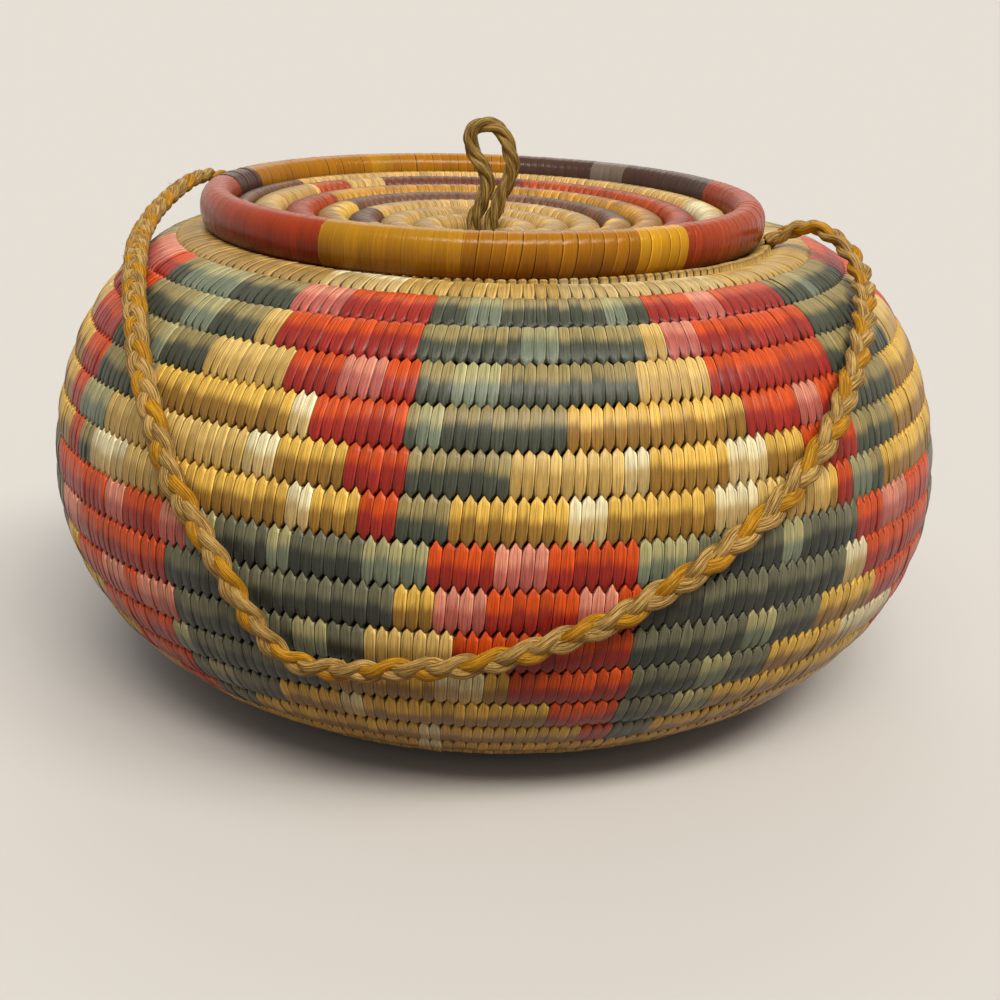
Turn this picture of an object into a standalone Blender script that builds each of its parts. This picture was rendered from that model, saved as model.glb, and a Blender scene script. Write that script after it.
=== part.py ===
"""Lidded basket with a plaited handle, coiled from wrapped grass bundles.

A basket of this kind is one long bundle of grass, wrapped in leaf strips and wound
in a spiral from the middle of the foot up to the mouth. Each round is sewn to the
round below it. Here the spiral is worked out from the bowl's outline, and each band of
the wall is one unbroken tube along it. The lid is a second, flatter spiral inside a
thick rim, with a loop to lift it by.

Units are metres. +Z is up, the origin is the middle of the foot, on the table, and
-Y is the front. A bearing is measured from the front, and grows to the right.
"""

import math

import bmesh
import bpy
import numpy as np
from mathutils import Vector

# The bowl's outline, along the middle of the coil
FOOT_RADIUS = 0.064  # where the flat foot ends and the wall starts to rise
BELLY_RADIUS = 0.142
BELLY_HEIGHT = 0.0745
SHOULDER_CENTRE = 0.092  # radius at which the shoulder's curve would lie level
NECK_RADIUS = 0.0975
NECK_HEIGHT = 0.1445
LIP_BEND = 0.013  # radius of the curve that turns the last rounds into the mouth

# The coil
FOOT_COIL = 0.0131  # thickness of one round at the foot
NECK_COIL = 0.0113  # and at the neck
SEAM_GAP = 0.0006  # left between one round and the next
POINTS_PER_ROUND = 24
START_COIL = 0.0072  # thickness of the first round, in the middle of the foot
START_SPREAD = 0.034  # radius by which the bundle has grown to its full thickness
START_RADIUS = 0.0038  # at which the coil starts
END_TAPER = 0.12  # rounds over which a free end thins out
TIP = 0.4  # thickness of a free end, as a share of the full coil
MOUTH_END = math.radians(150)  # bearing at which the coil ends in the mouth
SPLICE = math.radians(180)  # bearing at which one band's bundle follows another
UPPER_BAND_ROUNDS = 6
LOWER_BAND_ROUNDS = 6

# The lid
RIM_COIL = 0.0142  # thickness of the rim
LID_COIL = 0.0104  # thickness of a round of the dish
DISH_DROP = 0.0032  # how far the dish's edge lies below the middle of the rim
LID_DEPTH = 0.007  # how far the dish's middle lies below its edge
LID_OFFSET = -0.0065  # the lid lies a little to the left of the bowl's axis
LID_TAIL = 0.8  # rounds over which the dish's coil thins out against the rim
LID_END = math.radians(-87)  # bearing at which it ends
EYE_RADIUS = 0.0062  # hole in the middle of the dish that the loop's legs go through
COLLAR_COIL = 0.009
COLLAR_PLAY = 0.004  # between the collar and the mouth, with the lid pushed to one side
LOOP_CORD = 0.0048
KNOT_RADIUS = 0.0085
KNOT_HEIGHT = 0.0075

# The handle
HANDLE_CORD = 0.007
HANDLE_STEP = 0.0115  # distance between the points of the finished tube
HANDLE_KNOT_RADIUS = 0.0055
LEFT_BEARING = math.radians(-119)
RIGHT_BEARING = math.radians(80)

CLEARANCE = 0.0003  # between pieces that touch
SMOOTH_ANGLE = math.radians(50)

# The handle's route over the shoulder and round the front, from left to right
HANDLE_ROUTE = (
    (-0.0948, 0.0526, 0.1480),
    (-0.0960, 0.0532, 0.1514),
    (-0.0983, 0.0533, 0.1540),
    (-0.1020, 0.0520, 0.1560),
    (-0.1056, 0.0488, 0.1570),
    (-0.1086, 0.0432, 0.1573),
    (-0.1107, 0.0368, 0.1566),
    (-0.1127, 0.0292, 0.1552),
    (-0.1147, 0.0213, 0.1535),
    (-0.1163, 0.0130, 0.1515),
    (-0.1174, 0.0046, 0.1496),
    (-0.1180, -0.0070, 0.1468),
    (-0.1164, -0.0240, 0.1454),
    (-0.1138, -0.0400, 0.1444),
    (-0.1120, -0.0500, 0.1434),
    (-0.1100, -0.0620, 0.1406),
    (-0.1078, -0.0726, 0.1368),
    (-0.1056, -0.0814, 0.1328),
    (-0.1023, -0.0943, 0.1242),
    (-0.0974, -0.1058, 0.1147),
    (-0.0934, -0.1133, 0.1063),
    (-0.0888, -0.1201, 0.0969),
    (-0.0820, -0.1267, 0.0878),
    (-0.0747, -0.1321, 0.0783),
    (-0.0684, -0.1351, 0.0680),
    (-0.0603, -0.1375, 0.0574),
    (-0.0559, -0.1380, 0.0534),
    (-0.0514, -0.1390, 0.0515),
    (-0.0457, -0.1409, 0.0510),
    (-0.0345, -0.1440, 0.0518),
    (-0.0235, -0.1471, 0.0542),
    (-0.0073, -0.1494, 0.0566),
    (0.0085, -0.1504, 0.0612),
    (0.0242, -0.1495, 0.0674),
    (0.0348, -0.1476, 0.0716),
    (0.0452, -0.1448, 0.0776),
    (0.0559, -0.1408, 0.0834),
    (0.0668, -0.1350, 0.0905),
    (0.0781, -0.1273, 0.0984),
    (0.0885, -0.1164, 0.1083),
    (0.0950, -0.1077, 0.1160),
    (0.0995, -0.0980, 0.1232),
    (0.1040, -0.0862, 0.1302),
    (0.1076, -0.0730, 0.1366),
    (0.1102, -0.0588, 0.1418),
    (0.1113, -0.0475, 0.1456),
    (0.1109, -0.0400, 0.1489),
    (0.1092, -0.0348, 0.1518),
    (0.1070, -0.0310, 0.1540),
    (0.1044, -0.0276, 0.1557),
    (0.1013, -0.0241, 0.1572),
    (0.0980, -0.0210, 0.1570),
    (0.0950, -0.0187, 0.1560),
    (0.0921, -0.0171, 0.1544),
    (0.0892, -0.0161, 0.1526),
    (0.0864, -0.0154, 0.1508),
)

# The loop on the lid, as sideways and upward steps from the top of the eye
LOOP_ROUTE = (
    (-0.0030, 0.0000),
    (-0.0018, 0.0040),
    (-0.0002, 0.0080),
    (0.0010, 0.0118),
    (0.0010, 0.0152),
    (-0.0004, 0.0182),
    (-0.0024, 0.0211),
    (-0.0041, 0.0242),
    (-0.0049, 0.0274),
    (-0.0041, 0.0303),
    (-0.0018, 0.0320),
    (0.0014, 0.0322),
    (0.0045, 0.0309),
    (0.0066, 0.0281),
    (0.0080, 0.0245),
    (0.0090, 0.0207),
    (0.0090, 0.0172),
    (0.0078, 0.0138),
    (0.0058, 0.0094),
    (0.0041, 0.0045),
    (0.0030, 0.0000),
)


def move_to(obj, home):
    for old in obj.users_collection:
        old.objects.unlink(obj)
    home.objects.link(obj)


def clear_scene():
    for obj in list(bpy.data.objects):
        bpy.data.objects.remove(obj, do_unlink=True)


def collection(name):
    made = bpy.data.collections.new(name)
    bpy.context.scene.collection.children.link(made)
    return made


def material(name, colour, roughness):
    made = bpy.data.materials.new(name)
    made.use_nodes = True
    surface = made.node_tree.nodes["Principled BSDF"]
    surface.inputs["Base Color"].default_value = (*colour, 1)
    surface.inputs["Roughness"].default_value = roughness
    surface.inputs["Metallic"].default_value = 0
    made.diffuse_color = (*colour, 1)
    return made


class Bowl:
    """The outline of the bowl along the middle of its coil, and the spiral that follows it."""

    def __init__(self):
        self.outline = self.outline_points()
        steps = np.linalg.norm(np.diff(self.outline, axis=0), axis=1)
        self.along = np.concatenate([[0], np.cumsum(steps)])
        neck = np.argmin(np.linalg.norm(self.outline - (NECK_RADIUS, NECK_HEIGHT), axis=1))
        self.along -= self.along[neck]
        self.spacing = self.coil_thickness(self.along)
        rate = 1 / self.spacing
        rounds = np.cumsum((rate[1:] + rate[:-1]) / 2 * np.diff(self.along))
        self.rounds = np.concatenate([[0], rounds])
        self.rounds -= self.rounds[neck]

    def outline_points(self):
        """Radius and height from the lip in the mouth, over the shoulder, down to the foot's middle."""
        foot_height = foot_coil_height()
        wide = BELLY_RADIUS - SHOULDER_CENTRE
        tall = (NECK_HEIGHT - BELLY_HEIGHT) / math.sqrt(1 - ((NECK_RADIUS - SHOULDER_CENTRE) / wide) ** 2)
        top = math.asin((NECK_HEIGHT - BELLY_HEIGHT) / tall)
        angle = np.linspace(top, 0, 200)
        shoulder = np.stack([SHOULDER_CENTRE + wide * np.cos(angle), BELLY_HEIGHT + tall * np.sin(angle)], 1)
        angle = np.linspace(0, math.pi / 2, 300)[1:]
        wall = np.stack(
            [
                FOOT_RADIUS + (BELLY_RADIUS - FOOT_RADIUS) * np.cos(angle),
                BELLY_HEIGHT - (BELLY_HEIGHT - foot_height) * np.sin(angle),
            ],
            1,
        )
        radius = np.linspace(FOOT_RADIUS, 0, 60)[1:]
        foot = np.stack([radius, np.full_like(radius, foot_height)], 1)
        inward = shoulder[0] - shoulder[1]
        inward /= np.linalg.norm(inward)
        down = np.array([inward[1], -inward[0]])
        down *= -np.sign(down[1])
        turn = np.linspace(1.6, 0, 60)[:-1, None]
        centre = shoulder[0] + LIP_BEND * down
        lip = centre - LIP_BEND * (np.cos(turn) * down - np.sin(turn) * inward)
        return np.concatenate([lip, shoulder, wall, foot])

    def coil_thickness(self, along):
        """Thicker towards the foot, and thin again where the bundle starts."""
        whole = self.along[-1]
        thickness = NECK_COIL + (FOOT_COIL - NECK_COIL) * np.clip(along / whole, 0, 1)
        start = START_COIL + (FOOT_COIL - START_COIL) * (whole - along) / START_SPREAD
        return np.minimum(thickness, start)

    def at_round(self, rounds):
        """Radius, height and coil thickness at this many rounds below the neck."""
        along = np.interp(rounds, self.rounds, self.along)
        radius = np.interp(along, self.along, self.outline[:, 0])
        height = np.interp(along, self.along, self.outline[:, 1])
        return radius, height, np.interp(along, self.along, self.spacing)

    def outward(self, rounds):
        """The wall's outward direction, as radius and height, at this round."""
        above, below = self.at_round(rounds - 0.05), self.at_round(rounds + 0.05)
        run, rise = below[0] - above[0], below[1] - above[1]
        length = math.hypot(run, rise)
        return -rise / length, run / length

    def coil_radius(self, rounds):
        """Half the coil's thickness here, which leaves the seam's gap to the rounds beside it."""
        here = np.array(self.at_round(rounds)[:2])
        beside = [np.array(self.at_round(rounds + step)[:2]) for step in (-1, 1)]
        apart = [np.linalg.norm(here - other) for other in beside]
        thickness = float(self.at_round(rounds)[2])
        return (min([thickness, *[a for a in apart if a > thickness * 0.9]]) - SEAM_GAP) / 2

    def point(self, rounds):
        """The middle of the coil at this many rounds below the neck."""
        radius, height, _ = self.at_round(rounds)
        return on_bearing(radius, -2 * math.pi * rounds, height)

    def first_round(self):
        """Rounds below the neck at which the coil starts, in the middle of the foot."""
        return float(np.interp(self.along[-1] - START_RADIUS, self.along, self.rounds))


def foot_coil_height():
    """Height of the coil's middle in the foot, which is cut flat by a tenth of its thickness."""
    radius = (FOOT_COIL - SEAM_GAP) / 2
    return radius - 2 * radius / 10


def on_bearing(radius, bearing, height):
    return Vector((radius * math.sin(bearing), -radius * math.cos(bearing), height))


def smooth_route(points, step):
    """Points at even distances along one smooth curve through these points."""
    route = [Vector(p) for p in points]
    route = [2 * route[0] - route[1], *route, 2 * route[-1] - route[-2]]
    fine = []
    for before, start, end, after in zip(route, route[1:], route[2:], route[3:]):
        for share in np.linspace(0, 1, 12, endpoint=False):
            fine.append(
                0.5
                * (
                    2 * start
                    + (end - before) * share
                    + (2 * before - 5 * start + 4 * end - after) * share**2
                    + (3 * start - 3 * end + after - before) * share**3
                )
            )
    fine = np.array([*fine, route[-2]])
    along = np.concatenate([[0], np.cumsum(np.linalg.norm(np.diff(fine, axis=0), axis=1))])
    count = max(2, round(along[-1] / step) + 1)
    places = np.linspace(0, along[-1], count)
    return [Vector([np.interp(p, along, fine[:, axis]) for axis in range(3)]) for p in places], along[-1]


def tube(name, points, radii, sides, look, home, tilts=None):
    """A tube of varying thickness along these points, with closed ends.

    Its section has a corner level with its middle, turned from there by the tilts.
    """
    curve = bpy.data.curves.new(name, "CURVE")
    curve.dimensions = "3D"
    curve.bevel_depth = max(radii)
    curve.bevel_resolution = (sides - 4) // 2
    curve.use_fill_caps = True
    curve.twist_mode = "Z_UP"
    spline = curve.splines.new("POLY")
    spline.points.add(len(points) - 1)
    for target, point, radius, tilt in zip(spline.points, points, radii, tilts or [0] * len(points)):
        target.co = (*point, 1)
        target.radius = radius / max(radii)
        target.tilt = tilt
    made = bpy.data.objects.new(name, curve)
    curve.materials.append(look)
    home.objects.link(made)
    return made


def mesh_from(obj):
    """The same object as a mesh with its caps joined on, in place of the curve."""
    bpy.context.view_layer.update()
    mesh = bpy.data.meshes.new_from_object(obj.evaluated_get(bpy.context.evaluated_depsgraph_get()))
    work = bmesh.new()
    work.from_mesh(mesh)
    bmesh.ops.remove_doubles(work, verts=work.verts, dist=1e-6)
    bmesh.ops.recalc_face_normals(work, faces=work.faces)
    work.to_mesh(mesh)
    work.free()
    name, home = obj.name, obj.users_collection[0]
    matrix = obj.matrix_world.copy()
    bpy.data.objects.remove(obj, do_unlink=True)
    made = bpy.data.objects.new(name, mesh)
    made.matrix_world = matrix
    home.objects.link(made)
    return made


def shade_round(obj):
    obj.data.shade_smooth()
    obj.data.set_sharp_from_angle(angle=SMOOTH_ANGLE)


def ring(name, radius, thickness, centre, look, home, around=64, sides=10):
    """A closed round of coil."""
    bpy.ops.mesh.primitive_torus_add(
        major_radius=radius,
        minor_radius=thickness / 2,
        major_segments=around,
        minor_segments=sides,
        location=centre,
    )
    made = bpy.context.object
    made.name = name
    made.data.name = name
    made.data.materials.append(look)
    move_to(made, home)
    shade_round(made)
    return made


def knot(name, radius, height, centre, look, home):
    """A cord's knot, pulled into a flattened ball."""
    bpy.ops.mesh.primitive_uv_sphere_add(segments=20, ring_count=12, radius=1)
    made = bpy.context.object
    made.name = name
    made.data.name = name
    for vertex in made.data.vertices:
        vertex.co = Vector((vertex.co.x * radius, vertex.co.y * radius, vertex.co.z * height / 2))
    made.location = centre
    made.data.materials.append(look)
    move_to(made, home)
    shade_round(made)
    return made


def thinned(share_from_start, share_from_end):
    """How thick the coil is, against its full thickness, near a thinned start or end."""
    ease = min(1.0, share_from_start, share_from_end)
    return TIP + (1 - TIP) * math.sin(max(0.0, ease) * math.pi / 2)


def bowl_coil(name, bowl, top, bottom, look, home, top_is_free=False, bottom_is_free=False):
    """One band of the wall: the spiral between two places, given as rounds below the neck.

    The tube's corners lie half a step off the splices, so that two bands meet in the
    middle of one straight run, face to face.
    """
    corners = [
        (k + 0.5) / POINTS_PER_ROUND
        for k in range(math.floor(top * POINTS_PER_ROUND) - 1, math.ceil(bottom * POINTS_PER_ROUND) + 1)
    ]
    route = np.array([bowl.point(place) for place in corners])
    trim = CLEARANCE / 2 / (2 * math.pi * float(bowl.at_round(top)[0]))
    ends = (top + (0 if top_is_free else trim), bottom - (0 if bottom_is_free else trim))
    places = [ends[0], *[p for p in corners if ends[0] < p < ends[1]], ends[1]]
    points = [Vector([np.interp(p, corners, route[:, axis]) for axis in range(3)]) for p in places]
    radii, tilts = [], []
    for place in places:
        out, up = bowl.outward(place)
        tilts.append(-math.atan2(up, out) - math.pi / 6)
        from_top = (place - top) / END_TAPER if top_is_free else 1
        from_bottom = (bottom - place) / END_TAPER if bottom_is_free else 1
        radii.append(bowl.coil_radius(place) * thinned(from_top, from_bottom))
    return tube(name, points, radii, 6, look, home, tilts), points, radii


def least_gap(points, radii):
    """The smallest distance between the surfaces of rounds that lie side by side."""
    points, radii = np.array(points), np.array(radii)
    apart = np.linalg.norm(points[:, None] - points[None], axis=2)
    number = np.arange(len(points))
    far = np.abs(number[:, None] - number[None]) > POINTS_PER_ROUND // 2
    return float(np.where(far, apart - radii[:, None] - radii[None], 1).min())


def make_bowl(bowl, looks, home, helpers):
    """The wall's bands, from the mouth down to the middle of the foot."""
    mouth_end = -1 - MOUTH_END / (2 * math.pi)
    band_top = SPLICE / (2 * math.pi)
    band_middle = band_top + UPPER_BAND_ROUNDS
    band_foot = band_middle + LOWER_BAND_ROUNDS
    foot_start = bowl.first_round()
    bands = (
        ("neck_coil", mouth_end, band_top, "straw", True, False),
        ("upper_wall_coil", band_top, band_middle, "olive", False, False),
        ("lower_wall_coil", band_middle, band_foot, "red", False, False),
        ("base_coil", band_foot, foot_start, "gold", False, True),
    )
    all_points, all_radii = [], []
    made = {}
    for name, top, bottom, look, top_is_free, bottom_is_free in bands:
        made[name], points, radii = bowl_coil(
            name, bowl, top, bottom, looks[look], home, top_is_free, bottom_is_free
        )
        all_points += points
        all_radii += radii
    print(f"bowl: {foot_start - mouth_end:.1f} rounds, least gap {least_gap(all_points, all_radii) * 1000:.2f} mm")

    base = mesh_from(made["base_coil"])
    bpy.ops.mesh.primitive_cube_add(size=1)
    table = bpy.context.object
    table.name = "table_cutter"
    for vertex in table.data.vertices:
        vertex.co = Vector((vertex.co.x * 0.5, vertex.co.y * 0.5, (vertex.co.z - 0.5) * 0.02))
    move_to(table, helpers)
    table.hide_render = True
    table.display_type = "WIRE"
    flat = base.modifiers.new("flat foot", "BOOLEAN")
    flat.operation = "DIFFERENCE"
    flat.object = table
    shade_round(base)
    return all_points, all_radii


def seat_height(points, radii, ring_radius, thickness, above):
    """Height of a level ring of the lid that lies against a coil, above it or below it."""
    heights = []
    for point, radius in zip(points, radii):
        aside = math.hypot(point.x - LID_OFFSET, point.y) - ring_radius
        reach = thickness / 2 + radius + CLEARANCE
        if abs(aside) < reach:
            rise = math.sqrt(reach**2 - aside**2)
            heights.append(point.z + rise if above else point.z - rise)
    return max(heights) if above else min(heights)


def mouth_radius(points, radii, below):
    """Radius of the clear hole in the mouth, round the bowl's axis."""
    return min(
        math.hypot(p.x, p.y) - r for p, r in zip(points, radii) if p.z > below
    )


def dish_height(radius, edge_radius, edge_height):
    return edge_height - LID_DEPTH * (1 - (radius / edge_radius) ** 1.6)


def make_lid(bowl, points, radii, looks, home):
    """The rim, the dish inside it, the collar below it, and the loop with its knot."""
    rim_radius = float(bowl.at_round(-1)[0]) - 0.0013
    rim_height = seat_height(points, radii, rim_radius, RIM_COIL, above=True)
    edge_height = rim_height - DISH_DROP
    middle = Vector((LID_OFFSET, 0, 0))
    ring("lid_rim", rim_radius, RIM_COIL, middle + Vector((0, 0, rim_height)), looks["rim"], home, 72, 12)

    # The dish: its last round thins out against the rim, so that the rim lies level
    full = (LID_COIL - SEAM_GAP) / 2
    inside = rim_radius - RIM_COIL / 2 - CLEARANCE
    innermost = EYE_RADIUS + full + CLEARANCE
    full_rounds = (inside - SEAM_GAP - full - innermost) / LID_COIL
    edge_radius = inside - full
    route, thickness = [], []
    count = math.floor((full_rounds + LID_TAIL) * POINTS_PER_ROUND)
    for number in range(count + 1):
        rounds = number / POINTS_PER_ROUND
        radius, coil = innermost + LID_COIL * rounds, full
        if rounds > full_rounds:
            inner_edge = innermost + LID_COIL * (rounds - 1) + full
            room = inside - inner_edge - 2 * SEAM_GAP
            radius, coil = inner_edge + SEAM_GAP + room / 2, min(full, room / 2)
        bearing = LID_END + 2 * math.pi * (rounds - full_rounds - LID_TAIL)
        height = dish_height(radius, edge_radius, edge_height)
        route.append(middle + on_bearing(radius, bearing, height))
        thickness.append(coil)
    tube("lid_coil", route, thickness, 6, looks["dish"], home)
    print(f"lid: {count / POINTS_PER_ROUND:.1f} rounds, least gap {least_gap(route, thickness) * 1000:.2f} mm")

    # The collar hangs in the mouth and keeps the lid from sliding off
    collar_outer = mouth_radius(points, radii, NECK_HEIGHT - 2 * NECK_COIL) - abs(LID_OFFSET) - COLLAR_PLAY
    collar_radius = collar_outer - COLLAR_COIL / 2
    collar_height = seat_height(route, thickness, collar_radius, COLLAR_COIL, above=False)
    ring("lid_collar", collar_radius, COLLAR_COIL, middle + Vector((0, 0, collar_height)), looks["dish"], home)

    # The loop goes through the eye to its knot
    eye_height = dish_height(innermost, edge_radius, edge_height)
    foot = eye_height - full
    steps = [middle + Vector((side, 0, eye_height + full + up)) for side, up in LOOP_ROUTE]
    steps = [Vector((steps[0].x, 0, foot)), *steps, Vector((steps[-1].x, 0, foot))]
    loop, length = smooth_route(steps, LOOP_CORD * 0.7)
    tube("lid_loop", loop, [LOOP_CORD / 2] * len(loop), 8, looks["cord"], home)
    print(f"lid loop: {length * 1000:.0f} mm of cord")
    knot_middle = middle + Vector((0, 0, foot - CLEARANCE - KNOT_HEIGHT / 2))
    knot("lid_knot", KNOT_RADIUS, KNOT_HEIGHT, knot_middle, looks["cord"], home)


def make_handle(bowl, looks, home):
    """The plaited cord, and the knots inside the neck that hold its two ends."""
    route, length = smooth_route(HANDLE_ROUTE, HANDLE_STEP)
    tube("handle_plait", route, [HANDLE_CORD / 2] * len(route), 8, looks["plait"], home)
    print(f"handle: {length * 1000:.0f} mm of cord")
    for name, bearing, row in (
        ("handle_left_knot", LEFT_BEARING, 1),
        ("handle_right_knot", RIGHT_BEARING, 0),
    ):
        seam = row - 0.5 - bearing / (2 * math.pi)
        radius, height, thickness = (float(v) for v in bowl.at_round(seam))
        out, up = bowl.outward(seam)
        coil = (thickness - SEAM_GAP) / 2
        reach = coil + HANDLE_KNOT_RADIUS + CLEARANCE
        sag = radius * (1 - math.cos(math.pi / POINTS_PER_ROUND))
        inward = math.sqrt(reach**2 - (thickness / 2) ** 2) + sag
        middle = on_bearing(radius - out * inward, bearing, height - up * inward)
        knot(name, HANDLE_KNOT_RADIUS, 2 * HANDLE_KNOT_RADIUS, middle, looks["plait"], home)


def main():
    clear_scene()
    home = collection("lidded_basket")
    helpers = collection("cutters")
    looks = {
        "straw": material("natural_straw", (0.62, 0.43, 0.20), 0.55),
        "olive": material("olive_dyed_wrap", (0.13, 0.13, 0.07), 0.5),
        "red": material("red_dyed_wrap", (0.50, 0.06, 0.03), 0.5),
        "gold": material("gold_dyed_wrap", (0.55, 0.30, 0.07), 0.5),
        "rim": material("glossy_rim_wrap", (0.56, 0.25, 0.02), 0.4),
        "dish": material("lid_wrap", (0.60, 0.40, 0.16), 0.5),
        "cord": material("twisted_fibre", (0.26, 0.17, 0.06), 0.7),
        "plait": material("plaited_fibre", (0.45, 0.28, 0.08), 0.65),
    }
    bowl = Bowl()
    points, radii = make_bowl(bowl, looks, home, helpers)
    make_lid(bowl, points, radii, looks, home)
    make_handle(bowl, looks, home)


main()
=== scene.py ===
# %% [markdown]
# # A lidded basket, wound from wrapped grass
#
# This lesson dresses a imported model of a coiled basket. A coiled basket is one long
# bundle of grass. A strip of palm leaf is wrapped round the bundle, and every turn of
# the strip is also a stitch that catches the round below. The look comes from those
# thousands of flat, shiny strips, so they are made as real geometry, and a material
# only adds the fibres inside each strip.
#
# The imported model gives the bodies, their places and the lid's joint. It comes first.

import math

import bpy
import numpy as np
from mathutils import Matrix, Vector


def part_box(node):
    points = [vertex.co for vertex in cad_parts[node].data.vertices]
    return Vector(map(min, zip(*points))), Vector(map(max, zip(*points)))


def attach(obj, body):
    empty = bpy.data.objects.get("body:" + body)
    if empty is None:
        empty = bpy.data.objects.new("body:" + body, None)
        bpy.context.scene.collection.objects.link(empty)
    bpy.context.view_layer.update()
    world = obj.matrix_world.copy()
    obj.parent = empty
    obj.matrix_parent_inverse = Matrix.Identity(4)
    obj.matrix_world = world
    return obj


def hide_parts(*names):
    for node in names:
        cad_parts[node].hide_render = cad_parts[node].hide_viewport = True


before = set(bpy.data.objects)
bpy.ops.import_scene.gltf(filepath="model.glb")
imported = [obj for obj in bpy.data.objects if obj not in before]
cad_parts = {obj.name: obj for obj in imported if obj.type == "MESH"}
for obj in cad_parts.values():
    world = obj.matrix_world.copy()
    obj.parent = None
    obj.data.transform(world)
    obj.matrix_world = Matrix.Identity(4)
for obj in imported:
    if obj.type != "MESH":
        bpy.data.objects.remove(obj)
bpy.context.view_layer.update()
scene = bpy.context.scene
random = np.random.default_rng(7)

# %% [markdown]
# ## The camera
#
# The photograph was taken from close by, a little above the rim, with the camera
# turned slightly, so the basket's right side sits lower. A long lens from far away
# would flatten the rounds of the wall, so the distance matters as much as the angle.
# A 61 mm lens on a 36 mm sensor at about 60 cm gives the same outline.

# %% Camera
camera = bpy.data.objects.new("camera", bpy.data.cameras.new("camera"))
scene.collection.objects.link(camera)
camera.data.sensor_width = 36
camera.data.lens = 61.2
look_down, look_right, roll = math.radians(18.41), math.radians(0.25), math.radians(2.02)
camera.matrix_world = (
    Matrix.Translation((0, -0.5665, 0.2429))
    @ Matrix.Rotation(-look_right, 4, "Z")
    @ Matrix.Rotation(math.pi / 2 - look_down, 4, "X")
    @ Matrix.Rotation(roll, 4, "Z")
)
scene.camera = camera
print("camera height in mm:", round(1000 * camera.location.z))

# %% [markdown]
# ## Helpers for paths
#
# Cords and coils are both tubes that follow a path. A path is easier to draw with a
# few points than with hundreds, so a smooth curve is run through the points, and
# then cut into steps of one length.


# %% Smooth paths
PATH_CUTS = 12  # steps between two points of a path, before it is cut evenly


def running_total(lengths):
    return np.concatenate([[0], np.cumsum(lengths)])


def distance_along(line):
    return running_total(np.linalg.norm(np.diff(line, axis=0), axis=1))


def smooth_path(points, step):
    """Points at even distances along one smooth curve through these points."""
    points = np.array(points, float)
    # The curve also looks at the points before and after each stretch, so the first and
    # the last stretch get one point more
    points = np.vstack([2 * points[0] - points[1], points, 2 * points[-1] - points[-2]])
    share = np.linspace(0, 1, PATH_CUTS, endpoint=False)[:, None]
    fine = []
    for before, start, end, after in zip(points, points[1:], points[2:], points[3:]):
        fine.append(0.5 * (
            2 * start
            + (end - before) * share
            + (2 * before - 5 * start + 4 * end - after) * share**2
            + (3 * start - 3 * end + after - before) * share**3
        ))
    fine = np.vstack([*fine, points[-2]])
    along = distance_along(fine)
    places = np.linspace(0, along[-1], max(2, round(along[-1] / step) + 1))
    return np.stack([np.interp(places, along, fine[:, axis]) for axis in range(3)], axis=1)


def unit(vectors):
    return vectors / np.linalg.norm(vectors, axis=-1, keepdims=True)


def round_angles(points, start=0.0):
    """Angles of this many points, evenly all the way round a section."""
    return np.linspace(start, start + 2 * math.pi, points, endpoint=False)


# %% [markdown]
# ## One way to make every skin
#
# A coil, a strand or a rim is a closed section that is carried along a path. In mesh
# terms it is a grid of points: one column of points for each place along the path.
# The grid also gets a map for the materials. Its first number counts stitches along
# the coil. Its second number goes round the section: 0 on the crest that faces out,
# 1 at the seam above, -1 at the seam below and -2 on the crest that faces in.


# %% Grid of points to mesh
FLAT_WEIGHT = 85  # how strongly the wide face of a strip sets the shading of its edges


def skin(name, grid, along, around, finishes, finish=None, closed=False, flat_strips=False):
    """A tube through grid[column, point]. along counts stitches, around goes round the section."""
    # Each face joins four neighbouring points, and a tube with two ends gets two caps
    columns, points = grid.shape[:2]
    last = columns if closed else columns - 1
    column, point = np.meshgrid(np.arange(last), np.arange(points), indexing="ij")
    next_column, next_point = (column + 1) % columns, (point + 1) % points
    corners = (
        (column, point), (next_column, point), (next_column, next_point), (column, next_point)
    )
    faces = np.stack([a * points + b for a, b in corners], axis=-1).reshape(-1, 4).tolist()
    if not closed:
        faces.append(list(range(points)))
        faces.append([last * points + k for k in reversed(range(points))])
    mesh = bpy.data.meshes.new(name)
    mesh.from_pydata(grid.reshape(-1, 3), [], faces)

    # The map: both numbers for each corner of each face. It goes on past the last column
    # and the last point, so that no face has to span the whole map backwards
    step = along[-1] - along[-2]
    along_end = np.append(along, along[-1] + step)
    around_end = np.append(around, around[-1] + (around[-1] - around[-2]))
    places = ((column, point), (column + 1, point), (column + 1, point + 1), (column, point + 1))
    uv = np.stack([np.stack([along_end[a], around_end[b]], -1) for a, b in places], axis=2)
    uv = uv.reshape(-1, 2)
    if not closed:
        uv = np.vstack([uv, np.zeros((2 * points, 2))])
    mesh.uv_layers.new(name="strips").data.foreach_set("uv", uv.ravel())

    # The finishes: one for all, or one for each column
    for material in finishes:
        mesh.materials.append(material)
    if finish is not None:
        slots = np.repeat(finish[:last], points)
        if not closed:
            slots = np.append(slots, [finish[0], finish[-1]])
        mesh.polygons.foreach_set("material_index", slots.astype(np.int32))
    mesh.shade_smooth()
    mesh.update()
    piece = bpy.data.objects.new(name, mesh)
    scene.collection.objects.link(piece)
    if flat_strips:
        normals = piece.modifiers.new("flat strips", "WEIGHTED_NORMAL")
        normals.mode, normals.weight = "FACE_AREA", FLAT_WEIGHT
    return piece
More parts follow.
